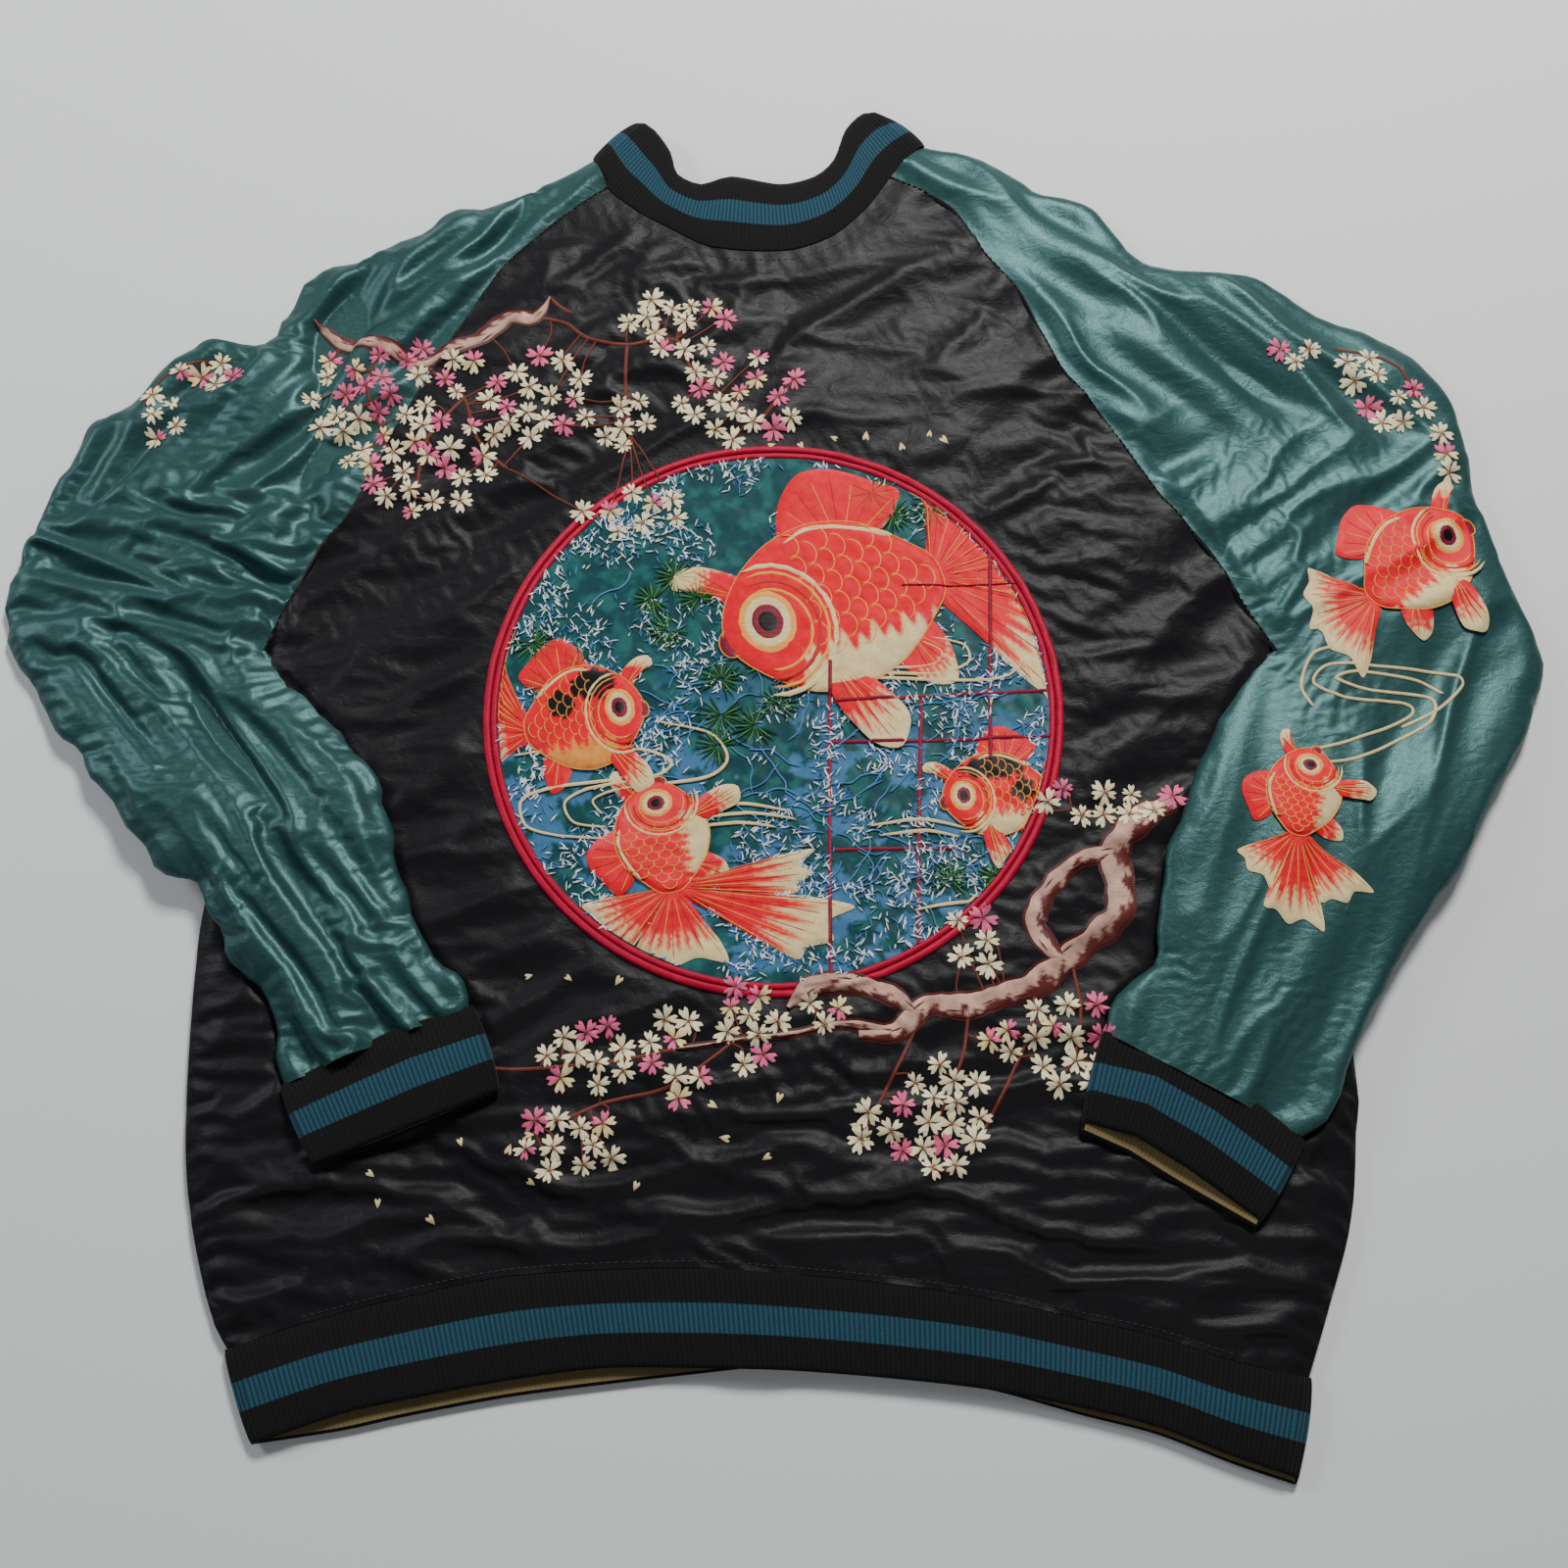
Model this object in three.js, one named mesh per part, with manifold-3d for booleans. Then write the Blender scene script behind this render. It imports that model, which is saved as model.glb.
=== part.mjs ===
// A lined, embroidered raglan souvenir jacket lying flat, back up, with its sleeves folded in
// over the body. Millimetres, +Z up. X runs across the jacket, +Y towards the collar.
import * as THREE from "three";
import Module from "manifold-3d";

const wasm = await Module();
wasm.setup();
const { Manifold, Mesh } = wasm;

// ---- driving dimensions ----
const CLOTH = 1.5; // shell satin with its interlining
const LINER = 1.0; // lining cloth
const GAP = 0.3; // air left between two pieces
const SEAM_GAP = 0.15; // half the air along a seam
const FRONT_Z = 0; // underside of the front shell
const FRONT_LINER_Z = 2.5;
const BACK_LINER_Z = 8.2;
const BACK_Z = 9.5; // underside of the back shell
const TOP_Z = BACK_Z + CLOTH;
const RIM = 12; // width over which a shell comes down to a side seam
const RIM_Z = CLOTH + GAP;
const ARMPIT_RIM = 45;
const LINER_INSET = 13;
const FOREARM_Z = 12.2; // underside of a forearm where it lies on the body
const ELBOW_Y = 46;
const ZIP_X = -8; // centre front
const ZIP_TOP = 333;
const ZIP_BOTTOM = -372;
const ZIP_Z = 5.3; // middle of the tape
const MEDALLION = { x: 0, y: 8, radius: 179.5, border: 9.5 };
const STITCH_Z = TOP_Z + 0.2; // underside of embroidery on the back
const OVERLAY_Z = STITCH_Z + 0.8;
const FISH_Z = OVERLAY_Z + 0.8;

// ---- plan outlines, shared by the pieces that meet along them ----
const BACK_NECK = [[-112, 377], [-91, 359], [-71, 347], [-45, 333], [-16, 329], [13, 330],
  [40, 341], [63, 363], [78, 385]];
const RAGLAN_LEFT = [[-146, 350], [-181, 312], [-208, 266], [-240, 204], [-268, 140],
  [-286, 116], [-307, 69]];
const RAGLAN_RIGHT = [[117, 362], [139, 327], [162, 297], [182, 250], [207, 214], [242, 157],
  [275, 113], [297, 72]];
const ARMPIT_LEFT = [-316, 47];
const ARMPIT_RIGHT = [312, 47];
const SIDE_LEFT = [[-339, -104], [-342, -147], [-340, -234], [-333, -290], [-317, -345]];
const SIDE_RIGHT = [[340, -217], [337, -248], [330, -296], [315, -340]];
const HEM_SEAM = [[-305, -367], [-263, -353], [-208, -339], [-153, -328], [-97, -324],
  [-40, -323], [7, -326], [62, -331], [119, -339], [175, -351], [216, -360], [257, -373],
  [299, -382]];
const HEM_EDGE = [[-286, -417], [-238, -401], [-205, -394], [-150, -384], [-95, -377],
  [7, -378], [62, -382], [118, -388], [172, -398], [213, -408], [253, -423], [287, -434]];
const SLEEVE_LEFT = [[-122, 401], [-150, 384], [-183, 369], [-216, 358], [-242, 341],
  [-271, 327], [-299, 314], [-326, 279], [-335, 264], [-381, 260], [-407, 231], [-437, 207],
  [-453, 180], [-467, 133], [-478, 100], [-479, 62], [-476, ELBOW_Y]];
const SLEEVE_RIGHT = [[101, 411], [147, 398], [180, 373], [213, 363], [244, 321], [287, 314],
  [320, 312], [351, 286], [398, 264], [416, 250], [436, 224], [445, 185], [450, 140],
  [466, 86], [479, ELBOW_Y]];

// ---- small plan-geometry helpers ----
const area = (points) => points.reduce((sum, [x, y], i) => {
  const [nx, ny] = points[(i + 1) % points.length];
  return sum + (x * ny - nx * y) / 2;
}, 0);
const anticlockwise = (points) => (area(points) < 0 ? [...points].reverse() : [...points]);

// Inward mitre vectors of an anticlockwise outline, one for each point.
function mitres(points) {
  const side = points.map(([x, y], i) => {
    const [nx, ny] = points[(i + 1) % points.length];
    const length = Math.hypot(nx - x, ny - y);
    return [-(ny - y) / length, (nx - x) / length];
  });
  return points.map((_, i) => {
    const a = side[(i + points.length - 1) % points.length];
    const b = side[i];
    const scale = 1 / Math.max(0.45, 1 + a[0] * b[0] + a[1] * b[1]);
    return [(a[0] + b[0]) * scale, (a[1] + b[1]) * scale];
  });
}

function inset(points, distance) {
  const outline = anticlockwise(points);
  const mitre = mitres(outline);
  return outline.map(([x, y, kind], i) => {
    const d = typeof distance === "function" ? distance(kind) : distance;
    return [x + mitre[i][0] * d, y + mitre[i][1] * d, kind];
  });
}

const circle = (x, y, radius, count) => Array.from({ length: count }, (_, i) => {
  const a = (2 * Math.PI * i) / count;
  return [x + radius * Math.cos(a), y + radius * Math.sin(a)];
});

// A line of given half widths turned into a closed outline.
function ribbon(line, widths) {
  const left = [];
  const right = [];
  line.forEach(([x, y], i) => {
    const [ax, ay] = line[Math.max(0, i - 1)];
    const [bx, by] = line[Math.min(line.length - 1, i + 1)];
    const length = Math.hypot(bx - ax, by - ay);
    const w = (Array.isArray(widths) ? widths[i] : widths) / length;
    left.push([x - (by - ay) * w, y + (bx - ax) * w]);
    right.unshift([x + (by - ay) * w, y - (bx - ax) * w]);
  });
  return [...left, ...right];
}

// ---- solids ----
const prism = (points, low, high) => Manifold.extrude(
  [anticlockwise(points).map(([x, y]) => [x, y])], high - low).translate([0, 0, low]);
const box = (low, high) => Manifold.cube(high.map((v, i) => v - low[i])).translate(low);
const join = (solids) => solids.reduce((a, b) => a.add(b));

function solidFrom(vertices, triangles) {
  return new Manifold(new Mesh({
    numProp: 3,
    vertProperties: Float32Array.from(vertices.flat()),
    triVerts: Uint32Array.from(triangles.flat()),
  }));
}

// A cloth panel: level in the middle, with each marked edge brought to its own height.
// rims maps an edge mark to {z, width}; an unmarked edge stays level.
function panel(points, level, thickness, rims = {}) {
  const outline = [];
  const source = inset(points, SEAM_GAP);
  source.forEach((point, i) => {
    const next = source[(i + 1) % source.length];
    const length = Math.hypot(next[0] - point[0], next[1] - point[1]);
    const at = (d) => [
      point[0] + ((next[0] - point[0]) * d) / length,
      point[1] + ((next[1] - point[1]) * d) / length,
    ];
    outline.push(point);
    if (rims[point[2]] && !rims[next[2]] && length > 1.3 * rims[point[2]].width) {
      outline.push(at(rims[point[2]].width));
    }
    if (!rims[point[2]] && rims[next[2]] && length > 1.3 * rims[next[2]].width) {
      outline.push(at(length - rims[next[2]].width));
    }
  });
  const mitre = mitres(outline);
  const vertices = [];
  const add = (x, y, z) => {
    vertices.push([x, y, z + thickness], [x, y, z]);
    return vertices.length - 2;
  };
  const edge = outline.map(([x, y, kind]) => add(x, y, rims[kind] ? rims[kind].z : level));
  const inner = outline.map(([x, y, kind], i) => {
    if (!rims[kind]) return edge[i];
    const w = rims[kind].width;
    return add(x + mitre[i][0] * w, y + mitre[i][1] * w, level);
  });
  const triangles = [];
  const face = (a, b, c) => {
    if (a === b || b === c || a === c) return;
    triangles.push([a, b, c], [a + 1, c + 1, b + 1]);
  };
  outline.forEach((_, i) => {
    const j = (i + 1) % outline.length;
    face(edge[i], edge[j], inner[j]);
    face(edge[i], inner[j], inner[i]);
    triangles.push([edge[i], edge[i] + 1, edge[j] + 1], [edge[i], edge[j] + 1, edge[j]]);
  });
  const flat = inner.map((i) => new THREE.Vector2(vertices[i][0], vertices[i][1]));
  THREE.ShapeUtils.triangulateShape(flat, []).forEach(([a, b, c]) => {
    face(inner[a], inner[b], inner[c]);
  });
  return solidFrom(vertices, triangles);
}

// A skin lofted through rows of section points; a closed skin is a tube open at both ends.
function loft(rows) {
  const count = rows[0].length;
  const vertices = rows.flat();
  const triangles = [];
  const quad = (a, b, c, d) => triangles.push([a, b, c], [a, c, d]);
  for (let r = 0; r + 1 < rows.length; r += 1) {
    for (let i = 0; i < count; i += 1) {
      const j = (i + 1) % count;
      quad(r * count + i, r * count + j, (r + 1) * count + j, (r + 1) * count + i);
    }
  }
  const last = (rows.length - 1) * count;
  const half = count / 2;
  for (let i = 0; i + 1 < half; i += 1) {
    const o = count - 1 - i;
    quad(i, o, o - 1, i + 1);
    quad(last + i, last + i + 1, last + o - 1, last + o);
  }
  const solid = solidFrom(vertices, triangles);
  return solid.volume() < 0 ? solidFrom(vertices, triangles.map(([a, b, c]) => [a, c, b])) : solid;
}

// One row of a flattened sleeve tube. outer and inner are plan points with their own z.
const along = (a, b, d) => {
  const length = Math.hypot(b[0] - a[0], b[1] - a[1]);
  return a.map((v, i) => v + ((b[i] - v) * d) / length);
};
const up = (p, dz) => [p[0], p[1], p[2] + dz];

// The lower sheet, the upper tray and the lining tube of a flattened sleeve.
const lowerRow = ([a, b]) => [a, b, up(b, CLOTH), up(a, CLOTH)];
function upperRow([a, b, rimA = RIM, rimB = RIM]) {
  const bottom = [up(a, RIM_Z), up(along(a, b, rimA), BACK_Z), up(along(b, a, rimB), BACK_Z),
    up(b, RIM_Z)];
  return [...bottom, ...bottom.map((p) => up(p, CLOTH)).reverse()];
}
function tubeSolid(rows, side, low, high, wall, ends) {
  const ring = ([a, b, rimA = RIM, rimB = RIM], extra, dz) => {
    const pa = along(a, b, side + rimA - RIM + extra);
    const pb = along(b, a, side + rimB - RIM + extra);
    return [up(pa, low + dz), up(pb, low + dz), up(pb, high - dz), up(pa, high - dz)];
  };
  const outer = rows.map((row) => ring(row, 0, 0));
  const innerRows = rows.map((row) => ring(row, wall, wall));
  const stretch = (list) => {
    const out = list.map((loop) => loop.map((p) => [...p]));
    out[0] = out[0].map((p, i) => p.map((v, k) => v + (v - list[1][i][k]) * ends));
    const n = out.length - 1;
    out[n] = out[n].map((p, i) => p.map((v, k) => v + (v - list[n - 1][i][k]) * ends));
    return out;
  };
  return loft(outer).subtract(loft(stretch(innerRows)));
}

// ---- node bookkeeping ----
const group = new THREE.Group();
group.name = "souvenir_jacket";
function place(name, solid, color, metalness = 0, roughness = 0.6) {
  const mesh = solid.getMesh();
  const geometry = new THREE.BufferGeometry();
  geometry.setAttribute("position", new THREE.BufferAttribute(
    Float32Array.from(mesh.vertProperties), mesh.numProp));
  geometry.setIndex(Array.from(mesh.triVerts));
  geometry.computeVertexNormals();
  const material = new THREE.MeshStandardMaterial({ color, metalness, roughness });
  material.name = `${name}_finish`;
  const node = new THREE.Mesh(geometry, material);
  node.name = name;
  group.add(node);
}

const BLACK = 0x1a181a;
const TEAL = 0x1f5c58;
const RIB_BLACK = 0x131113;
const OLIVE = 0x7a6436;
const LINING = 0x6a5a30;
const BRASS = 0xb08d4a;
const CRIMSON = 0xb01a42;
const FISH = 0xe5462f;
const BARK = 0xb08878;

const mark = (points, kind) => points.map(([x, y]) => [x, y, kind]);
const SEAM_RIMS = {
  side: { z: RIM_Z, width: RIM },
  armpit: { z: RIM_Z, width: ARMPIT_RIM },
};

// ---- torso ----
const backOutline = [
  ...mark(BACK_NECK, ""),
  ...mark(RAGLAN_RIGHT, ""),
  [...ARMPIT_RIGHT, "armpit"],
  ...mark(SIDE_RIGHT, "side"),
  [...HEM_SEAM[HEM_SEAM.length - 1], "side"],
  ...mark(HEM_SEAM.slice(1, -1), "").reverse(),
  [...HEM_SEAM[0], "side"],
  ...mark(SIDE_LEFT, "side").reverse(),
  [...ARMPIT_LEFT, "armpit"],
  ...mark(RAGLAN_LEFT, "").reverse(),
];
place("back_panel", panel(backOutline, BACK_Z, CLOTH, SEAM_RIMS), BLACK);
const linerEdge = (kind) => (kind ? LINER_INSET : 0.4);
const armpitLiner = (kind) => (kind === "armpit" ? ARMPIT_RIM + 1 : linerEdge(kind));
place("lining_back", prism(inset(backOutline, armpitLiner), BACK_LINER_Z,
  BACK_LINER_Z + LINER), LINING);

const FRONT_NECK_LEFT = [[-104, 352], [-80, 322], [-50, 302], [ZIP_X - 12, 293]];
const FRONT_NECK_RIGHT = [[ZIP_X + 12, 293], [24, 303], [50, 325], [69, 355]];
const ZIP_RIM = { zip: { z: 3.1, width: 40 } };
const hemLeft = HEM_SEAM.filter(([x]) => x < ZIP_X - 40);
const hemRight = HEM_SEAM.filter(([x]) => x > ZIP_X + 40);
const frontLeft = [
  ...mark([BACK_NECK[0], ...FRONT_NECK_LEFT.slice(0, -1)], ""),
  [...FRONT_NECK_LEFT[3], "zip"],
  [ZIP_X - 12, -324, "zip"],
  ...mark([...hemLeft].reverse(), ""),
  ...mark([...SIDE_LEFT].reverse(), ""),
  [...ARMPIT_LEFT, ""],
  ...mark([...RAGLAN_LEFT].reverse(), ""),
];
const frontRight = [
  [...FRONT_NECK_RIGHT[0], "zip"],
  ...mark([...FRONT_NECK_RIGHT.slice(1), BACK_NECK[8]], ""),
  ...mark(RAGLAN_RIGHT, ""),
  [...ARMPIT_RIGHT, ""],
  ...mark(SIDE_RIGHT, ""),
  ...mark([...hemRight].reverse(), ""),
  [ZIP_X + 12, -326, "zip"],
];
// slanting welt pockets, one on each front
const weltOutline = (s, grow) => {
  const a = [ZIP_X + s * 150, -40];
  const b = [ZIP_X + s * 196, -196];
  return ribbon([along(a, b, -grow), along(b, a, -grow)], 11 + grow);
};
const bagOutline = (s) => [[150, -30], [206, -205], [190, -265], [92, -265], [70, -120]].map(
  ([x, y]) => [ZIP_X + s * x, y]);
[["left", frontLeft, -1], ["right", frontRight, 1]].forEach(([side, outline, s]) => {
  const slot = prism(weltOutline(s, GAP), -1, CLOTH + 1);
  place(`front_panel_${side}`, panel(outline, FRONT_Z, CLOTH, ZIP_RIM).subtract(slot), BLACK);
  place(`pocket_welt_${side}`, prism(weltOutline(s, 0), 0, CLOTH), BLACK);
  place(`pocket_bag_${side}`, prism(bagOutline(s), 1.7, 2.3), BLACK);
  const liner = inset(outline, (kind) => (kind === "zip" ? 6 : LINER_INSET)).map(
    ([x, y, kind]) => [x, y, kind]);
  place(`lining_front_${side}`, panel(liner, FRONT_LINER_Z, LINER,
    { zip: { z: 6.1, width: 34 } }), LINING);
});

// ---- upper sleeves ----
const neckLeft = [[-122, 401], BACK_NECK[0]];
const neckRight = [BACK_NECK[8], [101, 411]];
const sleeveOutline = {
  left: [
    ...mark([BACK_NECK[0], ...RAGLAN_LEFT], ""),
    [...ARMPIT_LEFT, "armpit"],
    [-361, ELBOW_Y, ""],
    [-464, ELBOW_Y, ""],
    ...mark([...SLEEVE_LEFT].reverse(), "side"),
  ],
  right: [
    ...mark([BACK_NECK[8], ...RAGLAN_RIGHT], ""),
    [...ARMPIT_RIGHT, "armpit"],
    [357, ELBOW_Y, ""],
    [467, ELBOW_Y, ""],
    ...mark([...SLEEVE_RIGHT].reverse(), "side"),
  ],
};
Object.entries(sleeveOutline).forEach(([side, outline]) => {
  const flat = outline.map(([x, y]) => [x, y, ""]);
  place(`upper_sleeve_${side}_back`, panel(outline, BACK_Z, CLOTH, SEAM_RIMS), TEAL);
  place(`upper_sleeve_${side}_front`, panel(flat, FRONT_Z, CLOTH), TEAL);
  const s = side === "left" ? -1 : 1;
  const edge = (extra) => inset(outline, (kind) => {
    if (kind === "side") return LINER_INSET + extra;
    return kind === "armpit" ? ARMPIT_RIM + 1 : 0.4;
  });
  const hollow = prism(edge(LINER), FRONT_LINER_Z + LINER, BACK_LINER_Z);
  const raglan = s < 0 ? [ARMPIT_LEFT, BACK_NECK[0]] : [ARMPIT_RIGHT, BACK_NECK[8]];
  const mouth = ribbon(raglan, 60);
  const skin = prism(edge(0), FRONT_LINER_Z, BACK_LINER_Z + LINER).subtract(hollow);
  const keep = prism(edge(LINER), FRONT_LINER_Z + LINER, BACK_LINER_Z);
  const gap = prism(mouth, FRONT_LINER_Z + LINER, BACK_LINER_Z).intersect(
    box([s < 0 ? -316 : -200, 60, 0], [s < 0 ? 200 : 312, 372, 20]));
  place(`upper_sleeve_${side}_lining`, skin.subtract(keep).subtract(gap),
    LINING);
});

// ---- forearms, folded in over the body ----
const forearmRows = {
  left: [
    [[-475.5, ELBOW_Y - 0.4, 3.9], [-318, ELBOW_Y - 0.4, 3.9], RIM, ARMPIT_RIM],
    [[-446, 7, FOREARM_Z], [-291, 23, FOREARM_Z]],
    [[-408, -41, FOREARM_Z], [-245, -32, FOREARM_Z]],
    [[-367, -90, FOREARM_Z], [-223, -91, FOREARM_Z]],
    [[-331, -125, FOREARM_Z], [-208, -131, FOREARM_Z]],
    [[-292, -179, FOREARM_Z], [-186, -156, FOREARM_Z]],
    [[-281, -221, FOREARM_Z], [-177, -176, FOREARM_Z]],
  ],
  right: [
    [[478.5, ELBOW_Y - 0.4, 3.9], [314, ELBOW_Y - 0.4, 3.9], RIM, ARMPIT_RIM],
    [[465, 0, FOREARM_Z], [284, 20, FOREARM_Z]],
    [[428, -60, FOREARM_Z], [247, -57, FOREARM_Z]],
    [[400, -101, FOREARM_Z], [233, -92, FOREARM_Z]],
    [[372, -143, FOREARM_Z], [224, -140, FOREARM_Z]],
    [[330, -219, FOREARM_Z], [201, -170, FOREARM_Z]],
    [[302, -250, FOREARM_Z], [193, -191, FOREARM_Z]],
  ],
};
const cuffRows = {
  left: [
    [[-281, -222.4, FOREARM_Z], [-177, -177.4, FOREARM_Z]],
    [[-258, -268, FOREARM_Z], [-158, -226, FOREARM_Z]],
  ],
  right: [
    [[301.6, -251, FOREARM_Z], [193.6, -192.4, FOREARM_Z]],
    [[274, -297, FOREARM_Z], [180, -245, FOREARM_Z]],
  ],
};
["left", "right"].forEach((side) => {
  const rows = forearmRows[side];
  place(`forearm_${side}_back`, loft(rows.map(upperRow)), TEAL);
  place(`forearm_${side}_front`, loft(rows.map(lowerRow)), TEAL);
  place(`forearm_${side}_lining`, tubeSolid(rows, LINER_INSET, CLOTH + GAP, BACK_Z - GAP,
    LINER, 0.4), LINING);
  const cuff = cuffRows[side];
  place(`cuff_${side}_rib`, tubeSolid(cuff, 2, 0, TOP_Z, CLOTH, 0.4), RIB_BLACK);
  place(`cuff_${side}_lining`, tubeSolid(cuff, 2 + CLOTH + GAP, CLOTH + GAP, BACK_Z - GAP,
    LINER, 0.4), OLIVE);
});

// ---- knitted bands: one strip round the back and both fronts, open at centre front ----
function band(back, fronts, folds, level) {
  const [frontZ, backZ, thickness] = level;
  const strips = fronts.map((points) => prism(inset(points, SEAM_GAP), frontZ,
    frontZ + thickness));
  const walls = folds.map(([a, b, width]) => prism(ribbon([a, b], width), frontZ,
    backZ + thickness));
  const plan = prism(inset(back, SEAM_GAP), 0, 40);
  return join([
    prism(inset(back, SEAM_GAP), backZ, backZ + thickness),
    ...strips,
    ...walls.map((wall) => wall.intersect(plan)),
  ]);
}
const OUTER = [FRONT_Z, BACK_Z, CLOTH];
const INNER = [CLOTH + GAP, BACK_LINER_Z, LINER];

const hemBack = [...HEM_SEAM, ...[...HEM_EDGE].reverse()];
const hemFront = (s, drop) => {
  const stop = ZIP_X + s * 12;
  const keep = ([x]) => (s < 0 ? x < ZIP_X - 40 : x > ZIP_X + 40);
  const seam = s < 0 ? hemLeft : hemRight;
  const edge = HEM_EDGE.filter(keep).map(([x, y]) => [x, y - drop(x)]);
  return s < 0
    ? [...seam, [stop, -324], [stop, -377], ...edge.reverse()]
    : [[stop, -326], ...seam, ...edge.reverse(), [stop, -378]];
};
const flush = () => 0;
const peeping = (x) => (x > -260 && x < -90 ? 9 : 0);
const hemFolds = (d, w) => [
  [[-305 + d, -360], [-286 + d, -424], w],
  [[299 - d, -375], [287 - d, -441], w],
];
place("hem_rib", band(hemBack, [hemFront(-1, flush), hemFront(1, flush)], hemFolds(0, 2.2),
  OUTER), RIB_BLACK);
const hemInner = (points) => inset(points, 4);
const liningStrip = (s) => {
  const strip = hemFront(s, s < 0 ? peeping : flush);
  const limits = prism([[-300.5, -366], [-277.5, -426], [281, -440], [294.6, -381],
    [294.6, -300], [-300.5, -300]], 0, 20);
  return prism(inset(strip, 0.5), INNER[0], INNER[0] + LINER).intersect(limits);
};
place("hem_rib_lining", join([
  prism(hemInner(hemBack), INNER[1], INNER[1] + LINER),
  liningStrip(-1),
  liningStrip(1),
  ...hemFolds(9, 1).map(([a, b, w]) => prism(ribbon([a, b], w), INNER[0], INNER[1] + LINER)
    .intersect(prism(hemInner(hemBack), 0, 40))),
]), OLIVE);

const COLLAR_EDGE = [[-93, 429], [-81, 420], [-70, 403], [-65, 386], [-49, 378], [-29, 384],
  [4, 378], [27, 384], [40, 397], [48, 420], [60, 433], [74, 434]];
const collarSeam = [[-122, 401], ...BACK_NECK, [101, 411]];
const collarBack = [...COLLAR_EDGE, ...[...collarSeam].reverse()];
const collarFrontLeft = [[-93, 429], [-122, 401], BACK_NECK[0], ...FRONT_NECK_LEFT,
  [ZIP_X - 12, 338], [-38, 347], [-56, 362], [-70, 388]];
const collarFrontRight = [[74, 434], [54, 400], [44, 372], [22, 350], [ZIP_X + 12, 338],
  ...FRONT_NECK_RIGHT, BACK_NECK[8], [101, 411]];
const collarFolds = (w) => [
  [[-92, 430], [-123, 400], w],
  [[74, 436], [102, 411], w],
];
place("collar_rib", band(collarBack, [collarFrontLeft, collarFrontRight], collarFolds(2.5),
  OUTER), RIB_BLACK);
const collarInset = (points) => inset(points, 3.2);
const collarInnerFolds = [
  [[-90, 424], [-117, 398], 1.6],
  [[72, 430], [96, 408], 1.6],
];
place("collar_rib_lining", join([
  prism(collarInset(collarBack), INNER[1], INNER[1] + LINER),
  ...[collarFrontLeft, collarFrontRight].map((points) => prism(collarInset(points),
    INNER[0], INNER[0] + LINER)),
  ...collarInnerFolds.map(([a, b, w]) => prism(ribbon([a, b], w), INNER[0],
    INNER[1] + LINER).intersect(prism(collarInset(collarBack), 0, 40))),
]), OLIVE);

// ---- front zip: two tapes, two rows of teeth, pin, box, stops, slider and pull ----
const TOOTH_PITCH = 15;
[["left", -1], ["right", 1]].forEach(([side, s]) => {
  const x = (d) => ZIP_X + s * d;
  const span = (a, b) => [Math.min(x(a), x(b)), Math.max(x(a), x(b))];
  const [tapeLow, tapeHigh] = span(3.8, 16);
  place(`zipper_tape_${side}`, box([tapeLow, ZIP_BOTTOM, ZIP_Z - 0.4],
    [tapeHigh, ZIP_TOP, ZIP_Z + 0.4]), BLACK);
  const [cordLow, cordHigh] = span(2.4, 3.5);
  const cord = box([cordLow, ZIP_BOTTOM + 22, ZIP_Z - 0.7], [cordHigh, ZIP_TOP - 8, ZIP_Z + 0.7]);
  const teeth = [cord];
  for (let y = ZIP_BOTTOM + 24; y < ZIP_TOP - 10; y += TOOTH_PITCH) {
    const [low, high] = span(1.3, 3.5);
    teeth.push(box([low, y + (s > 0 ? 1.5 : 0), ZIP_Z - 1.1],
      [high, y + 2.4 + (s > 0 ? 1.5 : 0), ZIP_Z + 1.1]));
  }
  place(`zipper_teeth_${side}`, join(teeth), BRASS, 0.9, 0.35);
  const [stopLow, stopHigh] = span(1.2, 3.5);
  place(`top_stop_${side}`, box([stopLow, ZIP_TOP - 6, ZIP_Z - 1.2],
    [stopHigh, ZIP_TOP - 1, ZIP_Z + 1.2]), BRASS, 0.9, 0.35);
});
place("retainer_box", box([ZIP_X - 3.4, ZIP_BOTTOM + 1, ZIP_Z - 1.7],
  [ZIP_X + 3.4, ZIP_BOTTOM + 9, ZIP_Z + 1.7]).subtract(
  box([ZIP_X + 0.5, ZIP_BOTTOM + 3, ZIP_Z - 1], [ZIP_X + 2.7, ZIP_BOTTOM + 12, ZIP_Z + 1])),
BRASS, 0.9, 0.35);
place("insertion_pin", box([ZIP_X + 0.8, ZIP_BOTTOM + 3.4, ZIP_Z - 0.7],
  [ZIP_X + 2.2, ZIP_BOTTOM + 21, ZIP_Z + 0.7]), BRASS, 0.9, 0.35);

const SLIDER_Y = ZIP_TOP - 24; // foot of the slider with the zip done up
const sliderPlan = [[-6.5, 0], [6.5, 0], [7, 8], [5.5, 14], [-5.5, 14], [-7, 8]].map(
  ([x, y]) => [ZIP_X + x, SLIDER_Y + y]);
const bridge = (y0, y1, z0, z1) => box([ZIP_X - 1.6, SLIDER_Y + y0, z0],
  [ZIP_X + 1.6, SLIDER_Y + y1, z1]);
place("zip_slider", join([
  prism(sliderPlan, ZIP_Z - 2.6, ZIP_Z - 1.5),
  prism(sliderPlan, ZIP_Z + 1.5, ZIP_Z + 2.6),
  box([ZIP_X - 0.9, SLIDER_Y + 9, ZIP_Z - 2], [ZIP_X + 0.9, SLIDER_Y + 13.6, ZIP_Z + 2]),
  bridge(2.2, 3.4, 0.2, ZIP_Z - 2),
  bridge(9.6, 11, 0.2, ZIP_Z - 2),
  bridge(2.2, 11, 0.2, 0.9),
]), BRASS, 0.9, 0.35);
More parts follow.
